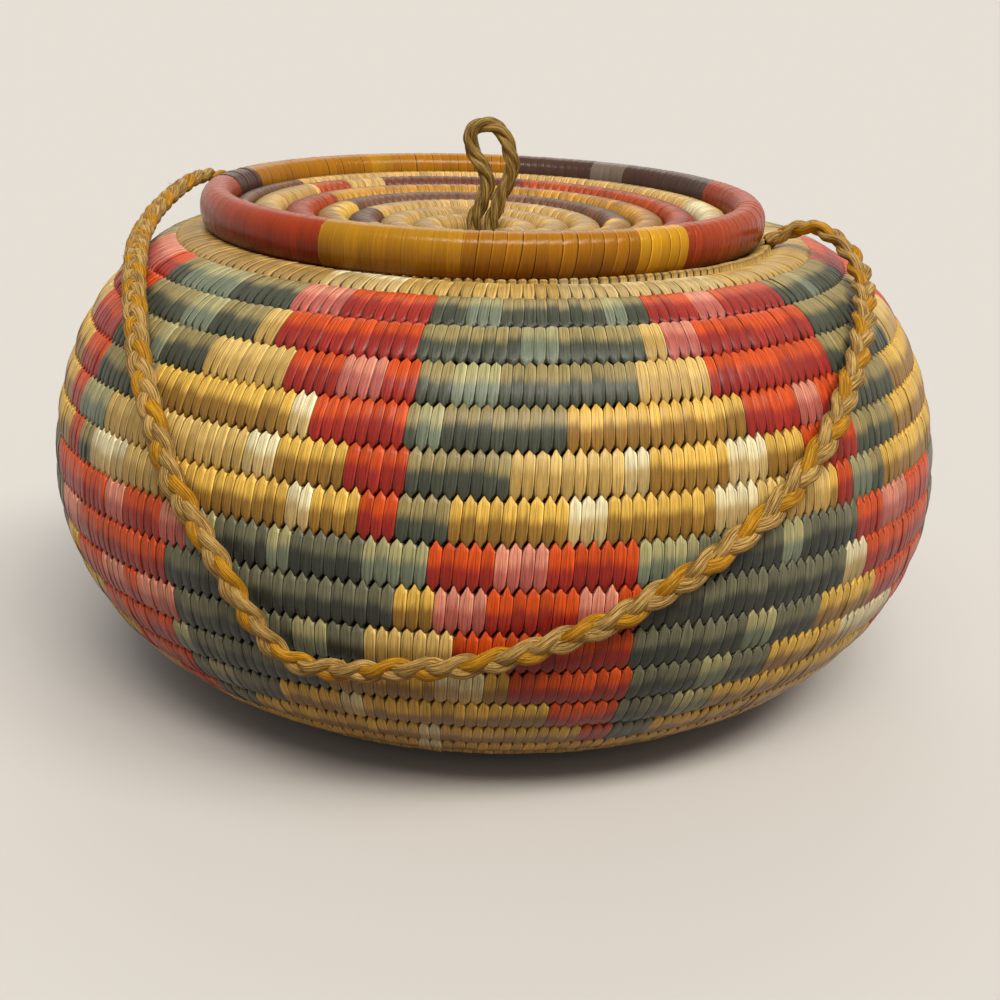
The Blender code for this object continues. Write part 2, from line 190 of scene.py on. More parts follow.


# %% [markdown]
# ## Leaf strip as a material
#
# The strips are split palm leaf, dyed in a pot. The leaf has a waxy skin, so it
# shines like satin: roughness near 0.35. Fibres run along the strip, five or six across
# its 3 mm, and some took more dye than others. A strip that is pulled tight also folds
# along its length, so each of its halves has a thin darker line. That line is painted
# shade of a crease that the mesh doesn't have. Where two strips meet there is a dark
# joint, and the edge of the strip on top catches the light. Where a strip goes down
# between two rounds, it is darkened with painted shade. The upper half of each round is
# painted lighter, which is painted light from above over a dye that has faded a little.
# The lower half is painted darker, which is painted shade under the round.
#
# All of this can be read from the map that the skin carries, so the material is
# procedural and holds no picture. Colours are written as sRGB hex, as they would be
# picked on a screen, and one function turns them into the linear values that
# Blender's shaders use.


# %% Colours and nodes
def linear(hex_colour):
    """A colour such as "#C89040" as linear red, green, blue and alpha."""
    shares = [int(hex_colour[k:k + 2], 16) / 255 for k in (1, 3, 5)]
    return (*[s / 12.92 if s <= 0.04045 else ((s + 0.055) / 1.055) ** 2.4 for s in shares], 1)


def add_node(tree, kind, inputs=None, **settings):
    """Adds a node. inputs gives a socket a value, or the output that it is linked to."""
    made = tree.nodes.new(kind)
    for name, value in settings.items():
        setattr(made, name, value)
    for socket, value in (inputs or {}).items():
        if isinstance(value, bpy.types.NodeSocket):
            tree.links.new(value, made.inputs[socket])
        else:
            made.inputs[socket].default_value = value
    return made


def wound_material(name):
    """A new material with its tree, its shader, the map of strips and the map's two numbers."""
    material = bpy.data.materials.new(name)
    material.use_nodes = True
    tree = material.node_tree
    strips = add_node(tree, "ShaderNodeUVMap", uv_map="strips").outputs["UV"]
    split = add_node(tree, "ShaderNodeSeparateXYZ", {"Vector": strips}).outputs
    return material, tree, tree.nodes["Principled BSDF"], strips, split["X"], split["Y"]


# %% Fibres, joints and folds
FIBRES_PER_STRIP = 5  # of 0.6 mm on a strip of 3 mm, a little coarse so that they show
FIBRE_STRETCH = 0.8  # the same round the bundle, where a fibre runs on for most of a quarter turn
FOLDS = ((0.12, 0.3), (0.88, -0.3))  # place across the strip, and how far chance moves it
FOLD_SLANT = 8  # the smaller, the more the two folds lean away from each other


def strip_pattern(tree, strips, along, around):
    """Fibres, a chance for each strip, and how far a place is from joints, seam and folds."""
    # Fibres: noise that is drawn out along the strip
    drawn = add_node(
        tree, "ShaderNodeVectorMath", {0: strips, 1: (FIBRES_PER_STRIP, FIBRE_STRETCH, 1)},
        operation="MULTIPLY",
    ).outputs[0]
    fibres = add_node(
        tree, "ShaderNodeTexNoise", {"Vector": drawn, "Scale": 1.0, "Detail": 3.0, "Roughness": 0.65}
    ).outputs["Fac"]

    # Each strip has its own strength of dye
    number = add_node(tree, "ShaderNodeMath", {0: along}, operation="FLOOR").outputs[0]
    chance = add_node(
        tree, "ShaderNodeTexWhiteNoise", {"W": number}, noise_dimensions="1D"
    ).outputs["Value"]

    # A thin dark joint between two strips, and the lit edge of the strip on top
    off_joint = add_node(
        tree, "ShaderNodeMath", {0: along, 1: 0.5}, operation="PINGPONG"
    ).outputs[0]
    from_joint = add_node(tree, "ShaderNodeMath", {0: along}, operation="FRACT").outputs[0]
    off_crest = add_node(
        tree, "ShaderNodeMath", {0: around, 1: 1.0}, operation="PINGPONG"
    ).outputs[0]

    # A fold in each half of the strip, at a place of its own, drawn as a thin line of painted shade
    off_fold = []
    for middle, spread in FOLDS:
        place = add_node(
            tree, "ShaderNodeMath", {0: chance, 1: spread, 2: middle}, operation="MULTIPLY_ADD"
        ).outputs[0]
        place = add_node(
            tree, "ShaderNodeMath", {0: around, 1: (0.5 - middle) / FOLD_SLANT, 2: place},
            operation="MULTIPLY_ADD",
        ).outputs[0]
        away = add_node(
            tree, "ShaderNodeMath", {0: from_joint, 1: place}, operation="SUBTRACT"
        ).outputs[0]
        off_fold.append(add_node(tree, "ShaderNodeMath", {0: away}, operation="ABSOLUTE").outputs[0])
    return fibres, chance, off_joint, from_joint, off_crest, off_fold


# %% [markdown]
# The pattern says where things are, and the next function says how they look. Every
# joint, fold and seam only changes the brightness of the leaf, so their factors are
# multiplied with each other and then with the colour of the dye. One list holds them
# all, which makes it easy to see and to change what each one does.

# %% Dyed leaf strip
FIBRE_RELIEF = 0.0004
LEAF_IOR = 1.47  # plant wax


def leaf_strip(
    name, faded_and_lit, deep, roughness=0.33, gloss=0.24,
    joint=0.1, line=0.05, fold=0.55, seam=0.6, tone=0.14, dip=0.28, blend=0.56,
):
    """Split palm leaf wound round a bundle: lighter on its upper side, darker on its lower side.

    joint, fold and seam are the brightness that is left there, and the folds and the seam
    are painted shade. line is a joint's width as a share of the strip, and tone is how much
    strips differ. The first colour is the upper half's: the dye's faded tone, painted lighter
    as painted light from above. The second is the lower half's, painted darker as painted
    shade. The deep colour ends at dip, counted from the crest, and goes over into the upper
    one within blend.
    """
    material, tree, surface, strips, along, around = wound_material(name)
    pattern = strip_pattern(tree, strips, along, around)
    fibres, chance, off_joint, from_joint, off_crest, off_fold = pattern

    # The edge between the lighter upper colour and the darker lower one (painted light
    # and painted shade) is uneven and lies elsewhere on each strip
    uneven = around
    for cause, strength in ((fibres, 0.5), (chance, 0.3)):
        uneven = add_node(
            tree, "ShaderNodeMath", {0: cause, 1: strength, 2: uneven}, operation="MULTIPLY_ADD"
        ).outputs[0]

    # What is read, its start and end, and what comes out at the start and at the end
    made = []
    for value, start, end, low, high in (
        # Upper half painted lighter and lower half painted darker: painted light and painted shade
        (uneven, dip, dip + blend, 0, 1),
        (fibres, 0.3, 0.7, roughness - 0.06, roughness + 0.1),
        (fibres, 0.25, 0.75, 1 - 0.6 * (1 - fold), 1 + 0.5 * (1 - fold)),
        # The two folds: thin lines of painted shade
        (off_fold[0], 0.0, 0.05, fold, 1),
        (off_fold[1], 0.0, 0.05, fold, 1),
        (chance, 0, 1, 1 - tone, 1 + 0.7 * tone),
        (off_joint, line / 4, line, joint, 1),
        (from_joint, line, 0.18, 1 + 0.5 * (1 - joint), 1),
        # Where a strip goes down between two rounds: painted shade
        (off_crest, 0.95, 1.0, 1, seam),
    ):
        made.append(add_node(
            tree, "ShaderNodeMapRange",
            {"Value": value, "From Min": start, "From Max": end, "To Min": low, "To Max": high},
            interpolation_type="SMOOTHSTEP",
        ).outputs["Result"])
    lit_upper_share, polish, shade, *factors = made
    for factor in factors:
        shade = add_node(
            tree, "ShaderNodeMath", {0: shade, 1: factor}, operation="MULTIPLY"
        ).outputs[0]
    # The dye's colour, with painted light on the upper half and painted shade on the lower half
    dye = add_node(
        tree, "ShaderNodeMix", {0: lit_upper_share, 6: linear(deep), 7: linear(faded_and_lit)}, data_type="RGBA"
    ).outputs[2]
    colour = add_node(
        tree, "ShaderNodeVectorMath", {0: dye, "Scale": shade}, operation="SCALE"
    ).outputs[0]
    relief = add_node(
        tree, "ShaderNodeBump", {"Height": fibres, "Strength": 0.4, "Distance": FIBRE_RELIEF}
    ).outputs["Normal"]
    for source, socket in ((colour, "Base Color"), (polish, "Roughness"), (relief, "Normal")):
        tree.links.new(source, surface.inputs[socket])
    surface.inputs["IOR"].default_value = LEAF_IOR
    surface.inputs["Specular IOR Level"].default_value = gloss
    return material


# %% [markdown]
# ## The dye pots
#
# Each bundle of strips is boiled in a pot of its own. Every colour here is a pair: the
# upper half's faded colour, painted lighter as painted light from above, and the lower
# half's, painted darker as painted shade under the round. The lid's rim has strips that
# were rubbed smooth, and they overlap so closely that folds and joints hardly show, so
# those strips share one set of values. On the rim the two colours blend over its whole
# height. Where each turn of the rim's wrap can be counted, the joint is darker.

# %% The dye pots
SMOOTH = {
    "roughness": 0.15, "gloss": 0.2,
    "joint": 0.75, "line": 0.04, "fold": 0.9, "seam": 1, "tone": 0.06, "dip": -0.4, "blend": 1.5,
}
WRAPPED = {**SMOOTH, "joint": 0.14, "line": 0.05}
# Each pair: the upper colour with painted light from above, then the lower colour with painted shade
LEAF = {
    "natural": leaf_strip("undyed_palm_leaf", "#DCB86A", "#BE9A54"),
    "tan": leaf_strip("tan_leaf_painted_shade", "#CEA660", "#AC8A4E"),
    # tan: undyed leaf painted darker, as painted shade under the rim and on the dish
    "cream": leaf_strip("bleached_palm_leaf", "#E8DAAC", "#C2A66C"),
    "gold": leaf_strip("gold_dyed_leaf", "#DFB24E", "#966E2E"),
    "amber": leaf_strip("amber_dyed_leaf", "#C48E38", "#946426"),
    "brick": leaf_strip("brick_dyed_leaf", "#AE4A22", "#88321C"),
    "red": leaf_strip("red_dyed_leaf", "#CC4C18", "#9A2A20"),
    "pink": leaf_strip("faded_red_leaf", "#DA8A70", "#B86054"),
    "olive": leaf_strip("olive_dyed_leaf", "#968656", "#464A3C"),
    "pale olive": leaf_strip("faded_olive_leaf", "#A8A070", "#747C66"),
    "slate": leaf_strip("slate_dyed_leaf", "#6C6A52", "#3A3C34"),
    "maroon": leaf_strip("maroon_dyed_leaf", "#6C3A2A", "#4C261C"),
    "brown": leaf_strip("brown_dyed_leaf", "#74503A", "#50382A"),
    "rim gold": leaf_strip("glossy_gold_leaf", "#A46A04", "#6A3A02", **WRAPPED),
    "rim pale gold": leaf_strip("glossy_pale_gold_leaf", "#AE7A10", "#764602", **SMOOTH),
    "rim yellow": leaf_strip("glossy_yellow_leaf", "#CA9210", "#986402", **WRAPPED),
    "rim red": leaf_strip("glossy_red_leaf", "#A2360A", "#5C1402", **SMOOTH),
    "rim bright red": leaf_strip("glossy_bright_red_leaf", "#A03806", "#661C02", **WRAPPED),
    "rim brown": leaf_strip("glossy_brown_leaf", "#4C342A", "#3A261E", **SMOOTH),
    "rim grey": leaf_strip("glossy_grey_leaf", "#746658", "#5A4E44", **SMOOTH),
}
LEAF_LIST = list(LEAF.values())
LEAF_NUMBER = {name: number for number, name in enumerate(LEAF)}
print("leaf finishes:", len(LEAF_LIST))

# %% [markdown]
# ## Raffia cord as a material
#
# The handle and the loop are raffia, split thin and not spun. The fibres of a strand
# lie side by side and turn slowly round it. They shine a little, and the grooves
# between them are painted dark, as painted shade, over the fibres' own uneven tone.
# The noise is therefore drawn out along the strand and wrapped round it, so that it
# has no seam.


# %% Raffia
FIBRE_LENGTH = 0.10  # stretches the noise, so that a fibre shows for about 6 mm
RAFFIA_RELIEF = 0.0006
RAFFIA_ROUGHNESS, RAFFIA_GLOSS = 0.55, 0.25


def raffia(name, pale, dark, fibres):
    """A strand of split raffia: its map counts millimetres along and turns around."""
    material, tree, surface, _, along, around = wound_material(name)
    turn = add_node(
        tree, "ShaderNodeMath", {0: around, 1: 2 * math.pi}, operation="MULTIPLY"
    ).outputs[0]
    across = add_node(tree, "ShaderNodeMath", {0: turn}, operation="COSINE").outputs[0]
    over = add_node(tree, "ShaderNodeMath", {0: turn}, operation="SINE").outputs[0]
    drawn = add_node(
        tree, "ShaderNodeCombineXYZ", {"X": along, "Y": across, "Z": over}
    ).outputs[0]
    drawn = add_node(
        tree, "ShaderNodeVectorMath", {0: drawn, 1: (FIBRE_LENGTH, fibres, fibres)},
        operation="MULTIPLY",
    ).outputs[0]
    fine = add_node(
        tree, "ShaderNodeTexNoise", {"Vector": drawn, "Scale": 1.6, "Detail": 3.0, "Roughness": 0.7}
    ).outputs["Fac"]
    # Where the noise is low the bump sinks and the colour is dark: painted shade in the grooves,
    # over the fibres' own tone
    crest = add_node(
        tree, "ShaderNodeMapRange", {"Value": fine, "From Min": 0.38, "From Max": 0.64},
        interpolation_type="SMOOTHSTEP",
    ).outputs["Result"]
    tint = add_node(
        tree, "ShaderNodeMix", {0: crest, 6: linear(dark), 7: linear(pale)}, data_type="RGBA"
    ).outputs[2]
    polish = add_node(
        tree, "ShaderNodeMapRange",
        {"Value": fine, "To Min": RAFFIA_ROUGHNESS + 0.12, "To Max": RAFFIA_ROUGHNESS - 0.08},
    ).outputs["Result"]
    relief = add_node(
        tree, "ShaderNodeBump", {"Height": fine, "Strength": 0.8, "Distance": RAFFIA_RELIEF}
    ).outputs["Normal"]
    for source, socket in ((tint, "Base Color"), (polish, "Roughness"), (relief, "Normal")):
        tree.links.new(source, surface.inputs[socket])
    surface.inputs["Specular IOR Level"].default_value = RAFFIA_GLOSS
    return material


# The last number says how fine the fibres are: 3.6 makes them about 0.3 mm wide
STRAW_RAFFIA = raffia("straw_raffia", "#D4AC60", "#6E4C1A", fibres=3.6)
GOLD_RAFFIA = raffia("gold_dyed_raffia", "#D29810", "#885602", fibres=3.6)
BROWN_RAFFIA = raffia("brown_raffia", "#B8964E", "#5C4418", fibres=2.8)
print("raffia:", [finish.name for finish in (STRAW_RAFFIA, GOLD_RAFFIA, BROWN_RAFFIA)])

# %% [markdown]
# ## Strands
#
# A plait and a twisted cord are both made of strands that wind round one middle line.
# Each place on the line needs three directions: along it, a side, and an outside. The
# strand's own middle line is offset from the cord's by so much to the side and so much
# to the outside, and a small section is carried along it.

# %% Frames along a line, and a strand
STRAND_POINTS = 12
print("points round a strand:", STRAND_POINTS)


def frames_along(line, outside, ahead=None):
    """Directions along the line and to its side, and the outside made square to the line."""
    if ahead is None:
        ahead = unit(np.gradient(line, axis=0))
    outside = unit(outside - (outside * ahead).sum(1, keepdims=True) * ahead)
    return ahead, np.cross(ahead, outside), outside


def tube(line, side, outside, turn, wide, high, bumps=1.0):
    """Points of a section carried along a line. wide and high are its half sizes, in metres."""
    return (
        line[:, None]
        + side[:, None] * (np.cos(turn) * wide * bumps)[..., None]
        + outside[:, None] * (np.sin(turn) * high * bumps)[..., None]
    )


def strand(line, outside, wide, high, twist, rough=0.05):
    """A strand along a line, with its map. twist is in radians for each metre."""
    _, side, outside = frames_along(line, outside)
    length = distance_along(line)
    turn = round_angles(STRAND_POINTS)
    fibre = turn[None] + twist * length[:, None]
    # Three ridges that wind round it and five weaker ones that wind faster
    ripple = 0.6 * rough * np.sin(5 * fibre + 420 * length[:, None])
    bumps = 1 + rough * np.sin(3 * fibre + 1.3) + ripple
    return tube(line, side, outside, turn, wide, high, bumps), length * 1000, turn / (2 * math.pi)


def tube_grids(name, grids, finishes, finish):
    """One mesh from several strands, each with its own finish."""
    parts = []
    for number, ((grid, along, around), slot) in enumerate(zip(grids, finish)):
        slots = np.full(len(grid), slot)
        parts.append(skin(f"{name}_{number}", grid, along, around, finishes, slots))
    with bpy.context.temp_override(
        active_object=parts[0], selected_editable_objects=parts, selected_objects=parts
    ):
        bpy.ops.object.join()
    parts[0].name = name
    return parts[0]


# %% [markdown]
# ## The handle
#
# A flat plait of three strands: one dyed gold and two left as straw. In a plait every
# strand goes from one edge to the other and back, and dives under a neighbour twice
# on the way. That is a sine across the plait and a sine of double speed through it,
# and the three strands are a third of a turn apart. The gold strand therefore shows
# at the left edge and the right edge in turn. The plait is tight where it leaves the
# neck at the left, 19 mm to a full turn, and slack from there on, at 28 mm.
#
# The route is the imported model's: from the knot in the neck at the left, round the
# lid, down over the front of the belly and up again to the neck at the right. Its
# outside is where the belly's surface faces.

# %% Route of the handle, in metres
HANDLE_ROUTE = (
    (-0.0948, 0.0526, 0.1480), (-0.0960, 0.0532, 0.1514), (-0.0983, 0.0533, 0.1540),
    (-0.1020, 0.0520, 0.1560), (-0.1056, 0.0488, 0.1570), (-0.1086, 0.0432, 0.1573),
    (-0.1107, 0.0368, 0.1566), (-0.1127, 0.0292, 0.1552), (-0.1147, 0.0213, 0.1535),
    (-0.1163, 0.0130, 0.1515), (-0.1174, 0.0046, 0.1496), (-0.1180, -0.0070, 0.1468),
    (-0.1164, -0.0240, 0.1454), (-0.1138, -0.0400, 0.1444), (-0.1120, -0.0500, 0.1434),
    (-0.1100, -0.0620, 0.1406), (-0.1078, -0.0726, 0.1368), (-0.1056, -0.0814, 0.1328),
    (-0.1023, -0.0943, 0.1242), (-0.0974, -0.1058, 0.1147), (-0.0934, -0.1133, 0.1063),
    (-0.0888, -0.1201, 0.0969), (-0.0820, -0.1267, 0.0878), (-0.0747, -0.1321, 0.0783),
    (-0.0684, -0.1351, 0.0680), (-0.0603, -0.1375, 0.0574), (-0.0559, -0.1380, 0.0534),
    (-0.0514, -0.1390, 0.0515), (-0.0457, -0.1409, 0.0510), (-0.0345, -0.1440, 0.0518),
    (-0.0235, -0.1471, 0.0542), (-0.0073, -0.1494, 0.0566), (0.0085, -0.1504, 0.0612),
    (0.0242, -0.1495, 0.0674), (0.0348, -0.1476, 0.0716), (0.0452, -0.1448, 0.0776),
    (0.0559, -0.1408, 0.0834), (0.0668, -0.1350, 0.0905), (0.0781, -0.1273, 0.0984),
    (0.0885, -0.1164, 0.1083), (0.0950, -0.1077, 0.1160), (0.0995, -0.0980, 0.1232),
    (0.1040, -0.0862, 0.1302), (0.1076, -0.0730, 0.1366), (0.1102, -0.0588, 0.1418),
    (0.1113, -0.0475, 0.1456), (0.1109, -0.0400, 0.1489), (0.1092, -0.0348, 0.1518),
    (0.1070, -0.0310, 0.1540), (0.1044, -0.0276, 0.1557), (0.1013, -0.0241, 0.1572),
    (0.0980, -0.0210, 0.1570), (0.0950, -0.0187, 0.1560), (0.0921, -0.0171, 0.1544),
    (0.0892, -0.0161, 0.1526), (0.0864, -0.0154, 0.1508),
)
CORD_STEP = 0.0007
PLAIT_WIDTH, PLAIT_DEPTH = 0.0019, 0.0011  # how far a strand goes to the side and through
STRAND_WIDE, STRAND_HIGH, FIBRE_TWIST = 0.00205, 0.0014, 180
TIGHT_PERIOD, LOOSE_PERIOD = 0.0190, 0.0280
SLACK_STARTS, SLACK_FULL = 0.14, 0.24  # places along the cord
BELLY_WIDE, BELLY_TALL, BELLY_MIDDLE = 0.142, 0.072, 0.0745
print("points of the handle's route:", len(HANDLE_ROUTE))


def belly_outside(points):
    """Where an oval as wide and tall as the belly faces, at these points."""
    return unit(np.stack([
        points[:, 0] / BELLY_WIDE**2, points[:, 1] / BELLY_WIDE**2,
        (points[:, 2] - BELLY_MIDDLE) / BELLY_TALL**2,
    ], axis=1))


# %% The plait
cord_line = smooth_path(HANDLE_ROUTE, CORD_STEP)
cord_outside = belly_outside(cord_line)
_, cord_side, cord_out = frames_along(cord_line, cord_outside)
cord_along = np.linspace(0, distance_along(cord_line)[-1], len(cord_line))
slack = np.interp(cord_along, (SLACK_STARTS, SLACK_FULL), (0, 1))
period = TIGHT_PERIOD + (LOOSE_PERIOD - TIGHT_PERIOD) * slack
phase = 2 * math.pi * running_total(np.diff(cord_along) / period[1:])
plaited = []
for third in range(3):
    turn = phase + third * 2 * math.pi / 3
    line = (
        cord_line
        + cord_side * (PLAIT_WIDTH * np.sin(turn))[:, None]
        + cord_out * (PLAIT_DEPTH * np.sin(2 * turn))[:, None]
    )
    plaited.append(strand(line, cord_outside, STRAND_WIDE, STRAND_HIGH, FIBRE_TWIST))
handle_plait = tube_grids("handle_plait_cord", plaited, [STRAW_RAFFIA, GOLD_RAFFIA], (1, 0, 0))
print("handle length in mm:", round(1000 * cord_along[-1]))
print("faces of the plait:", len(handle_plait.data.polygons))

# %% [markdown]
# ## The handle's knots
#
# Each end of the plait goes into the neck and is tied off there, where the lid hides it.
# A plain ball would do while the lid is on, but it shows as soon as the lid is lifted.
# An overhand knot with its ends joined is a trefoil, and that curve has a short formula,
# so a cord is carried along it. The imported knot's box gives its place and its size.


# %% End knots
KNOT_POINTS, KNOT_ROUGH = 120, 0.08
KNOT_STEP = 0.4  # how far the fibres' map moves on from one point to the next, in mm
END_KNOT_CORD = 0.0019  # half the thickness of the cord in the knot


def node_box(node):
    """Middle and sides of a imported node's box, in metres."""
    low, high = (np.array(corner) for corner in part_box(node))
    return (low + high) / 2, high - low


def overhand_knot(name, node, thick, finish):
    """A cord tied in an overhand knot, which is a trefoil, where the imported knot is."""
    middle, (wide, _, height) = node_box(node)
    t = round_angles(KNOT_POINTS)
    flat = (wide / 2 - thick) / 3
    line = np.stack([
        flat * (np.sin(t) + 2 * np.sin(2 * t)),
        flat * (np.cos(t) - 2 * np.cos(2 * t)),
        -(height / 2 - thick) * np.sin(3 * t),
    ], axis=1)
    ahead = unit(np.roll(line, -1, 0) - np.roll(line, 1, 0))
    _, side, outside = frames_along(line, np.tile((0.0, 0.0, 1.0), (len(line), 1)), ahead)
    turn = round_angles(STRAND_POINTS)
    bumps = 1 + KNOT_ROUGH * np.sin(3 * turn[None] + 9 * t[:, None])
    grid = tube(line, side, outside, turn, thick, thick, bumps) + middle
    along = np.arange(len(t)) * KNOT_STEP
    return skin(name, grid, along, turn / (2 * math.pi), [finish], closed=True)


for side in ("left", "right"):
    piece = overhand_knot(
        f"handle_{side}_tied_knot", f"handle_{side}_knot", END_KNOT_CORD, STRAW_RAFFIA
    )
    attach(piece, "bowl")
    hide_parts(f"handle_{side}_knot")

# %% [markdown]
# Raffia is never trimmed quite clean. A few hairs stand off the plait where a fibre
# ended, mostly at the bottom of its curve. Each is a thin tube that leaves the plait
# along its run and then lifts away.

# %% Loose hairs
HAIR_COUNT, HAIR_POINTS, HAIR_SIDES = 26, 9, 5
HAIR_HALF, HAIR_ROOT = 0.00011, 0.0018  # half its thickness, and how far out it starts
HAIR_LIFTS, HAIR_THINS = 0.55, 0.7  # at its tip, as shares of its reach and of its thickness
hairs = []
for number in range(HAIR_COUNT):
    place = int(random.uniform(0.06, 0.94) * (len(cord_line) - 1))
    run = cord_line[place + 1] - cord_line[place]
    run = run / np.linalg.norm(run) * random.choice((-1, 1))
    out, sideways = cord_out[place], cord_side[place]
    lift = out * random.uniform(0.25, 0.7) + sideways * random.uniform(-0.9, 0.9)
    start = cord_line[place] + out * HAIR_ROOT + sideways * random.uniform(-0.002, 0.002)
    reach = random.uniform(0.004, 0.0085)
    share = np.linspace(0, 1, HAIR_POINTS)[:, None]
    line = start + run * reach * share + lift * reach * HAIR_LIFTS * share**2
    _, side, outside = frames_along(line, np.tile(out, (len(line), 1)))
    turn = round_angles(HAIR_SIDES)
    half = HAIR_HALF * (1 - HAIR_THINS * share)
    grid = tube(line, side, outside, turn, half, half)
    hairs.append((grid, np.arange(float(HAIR_POINTS)), turn / (2 * math.pi)))
loose_hairs = tube_grids("handle_loose_hairs", hairs, [STRAW_RAFFIA], (0,) * HAIR_COUNT)
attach(loose_hairs, "bowl")
print("loose hairs:", HAIR_COUNT)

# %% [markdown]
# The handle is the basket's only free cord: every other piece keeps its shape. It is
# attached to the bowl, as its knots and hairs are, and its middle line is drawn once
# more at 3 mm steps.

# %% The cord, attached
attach(handle_plait, "bowl")
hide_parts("handle_plait")
smooth_path(HANDLE_ROUTE, 0.003).tolist()

# %% [markdown]
# ## The bowl's outline
#
# The weaver builds the wall by eye, round by round. Here the outline is drawn along
# the middle of the coil, and a place on it is told in rounds below the neck. Because
# the coil is a spiral, a full turn moves it down by exactly one round. So the point
# at one place on the spiral needs only this one number.

# %% Sizes of the bowl, in metres
FOOT_RADIUS = 0.064
BELLY_RADIUS, BELLY_HEIGHT = 0.142, 0.0745
SHOULDER_CENTRE = 0.092
NECK_RADIUS, NECK_HEIGHT = 0.0975, 0.1445
LIP_BEND, LIP_TURN = 0.013, 2.3  # radius of the lip's roll, and how far it rolls, in radians
FOOT_COIL, NECK_COIL, START_COIL = 0.0131, 0.0113, 0.0072
START_SPREAD, START_RADIUS = 0.034, 0.0038
SEAM_GAP = 0.0006
END_TAPER, TIP = 0.12, 0.4  # rounds over which a free end thins out, and to what share
FOOT_PRESSED = 0.8
LIP_POINTS, SHOULDER_POINTS, WALL_POINTS, FOOT_POINTS = 90, 200, 300, 60
FOOT_HEIGHT = (FOOT_COIL - SEAM_GAP) / 2 * FOOT_PRESSED


# %% Outline points
def outline_points():
    """Radius and height from the lip in the mouth down to the middle of the foot."""
    # The shoulder follows an oval from the neck to the widest place of the belly
    wide = BELLY_RADIUS - SHOULDER_CENTRE
    lean = (NECK_RADIUS - SHOULDER_CENTRE) / wide
    tall = (NECK_HEIGHT - BELLY_HEIGHT) / math.sqrt(1 - lean**2)
    angle = np.linspace(math.asin((NECK_HEIGHT - BELLY_HEIGHT) / tall), 0, SHOULDER_POINTS)
    shoulder_radius = SHOULDER_CENTRE + wide * np.cos(angle)
    shoulder = np.stack([shoulder_radius, BELLY_HEIGHT + tall * np.sin(angle)], 1)

    # The wall follows a quarter of another oval down to the foot, which is flat
    angle = np.linspace(0, math.pi / 2, WALL_POINTS)[1:]
    wall_radius = FOOT_RADIUS + (BELLY_RADIUS - FOOT_RADIUS) * np.cos(angle)
    wall = np.stack([wall_radius, BELLY_HEIGHT - (BELLY_HEIGHT - FOOT_HEIGHT) * np.sin(angle)], 1)
    radius = np.linspace(FOOT_RADIUS, 0, FOOT_POINTS)[1:]
    foot = np.stack([radius, np.full_like(radius, FOOT_HEIGHT)], 1)

    # The lip goes on from the neck in a small arc and rolls down into the mouth
    inward = unit(shoulder[0] - shoulder[1])
    down = np.array([-abs(inward[1]), -abs(inward[0])])
    turn = np.linspace(LIP_TURN, 0, LIP_POINTS)[:-1, None]
    lip = shoulder[0] + LIP_BEND * down - LIP_BEND * (np.cos(turn) * down - np.sin(turn) * inward)
    return np.concatenate([lip, shoulder, wall, foot]), len(lip)


OUTLINE, NECK_POINT = outline_points()
ALONG = distance_along(OUTLINE)
ALONG -= ALONG[NECK_POINT]
THICKNESS = np.minimum(
    NECK_COIL + (FOOT_COIL - NECK_COIL) * np.clip(ALONG / ALONG[-1], 0, 1),
    START_COIL + (FOOT_COIL - START_COIL) * (ALONG[-1] - ALONG) / START_SPREAD,
)
ROUNDS = running_total((1 / THICKNESS[1:] + 1 / THICKNESS[:-1]) / 2 * np.diff(ALONG))
ROUNDS -= ROUNDS[NECK_POINT]
FIRST_ROUND = float(np.interp(ALONG[-1] - START_RADIUS, ALONG, ROUNDS))
print("rounds from neck to foot:", round(FIRST_ROUND, 1))


# %% Places on the outline
SLOPE_STEP = 0.0006


def outline_at(rounds):
    """Radius, height, outward direction and coil thickness at these rounds below the neck."""
    along = np.interp(rounds, ROUNDS, ALONG)
    place = np.stack([np.interp(along, ALONG, OUTLINE[:, axis]) for axis in range(2)], -1)
    ahead, behind = along + SLOPE_STEP, along - SLOPE_STEP
    run = np.interp(ahead, ALONG, OUTLINE[:, 0]) - np.interp(behind, ALONG, OUTLINE[:, 0])
    rise = np.interp(ahead, ALONG, OUTLINE[:, 1]) - np.interp(behind, ALONG, OUTLINE[:, 1])
    return place, unit(np.stack([-rise, run], -1)), np.interp(along, ALONG, THICKNESS)


def turned(radius, bearing, height):
    """Points at this bearing, which is 0 at the front and grows to the right."""
    return np.stack([radius * np.sin(bearing), -radius * np.cos(bearing), height], -1)


# %% [markdown]
# ## Stitches
#
# Each stitch is a flat strip that bulges a little, and it is narrower at its two ends,
# where it dives between the rounds. The ends of one round's strips fit between the
# ends of the next round's, so the seam runs in a zigzag. For that, a full round holds
# a whole number of strips and a half. Where the basket narrows the weaver leaves
# stitches out, so the number changes from one zone to the next.
#
# Four columns of points make one strip: its joint, its two shoulders and its crest.
# The section is flatter than a circle, because the strips bridge the seams.

# %% The strip's section and columns
# One row for each point: place across the round, height over its middle, share of the tooth
SECTION = np.array([
    (0.98, 0.36, 1.0),
    (1.05, 0.80, 1.0),
    (0.97, 0.90, 0.8),
    (0.74, 0.955, 0.15),
    (0.36, 0.99, 0.0),
    (0.0, 1.0, 0.0),
    (-0.36, 0.985, 0.08),
    (-0.74, 0.94, 0.4),
    (-0.96, 0.865, 0.9),
    (-1.05, 0.75, 1.0),
    (-0.98, 0.30, 1.0),
    (-0.80, -0.58, 0.0),
    (-0.35, -0.94, 0.0),
    (0.35, -0.94, 0.0),
    (0.80, -0.58, 0.0),
])
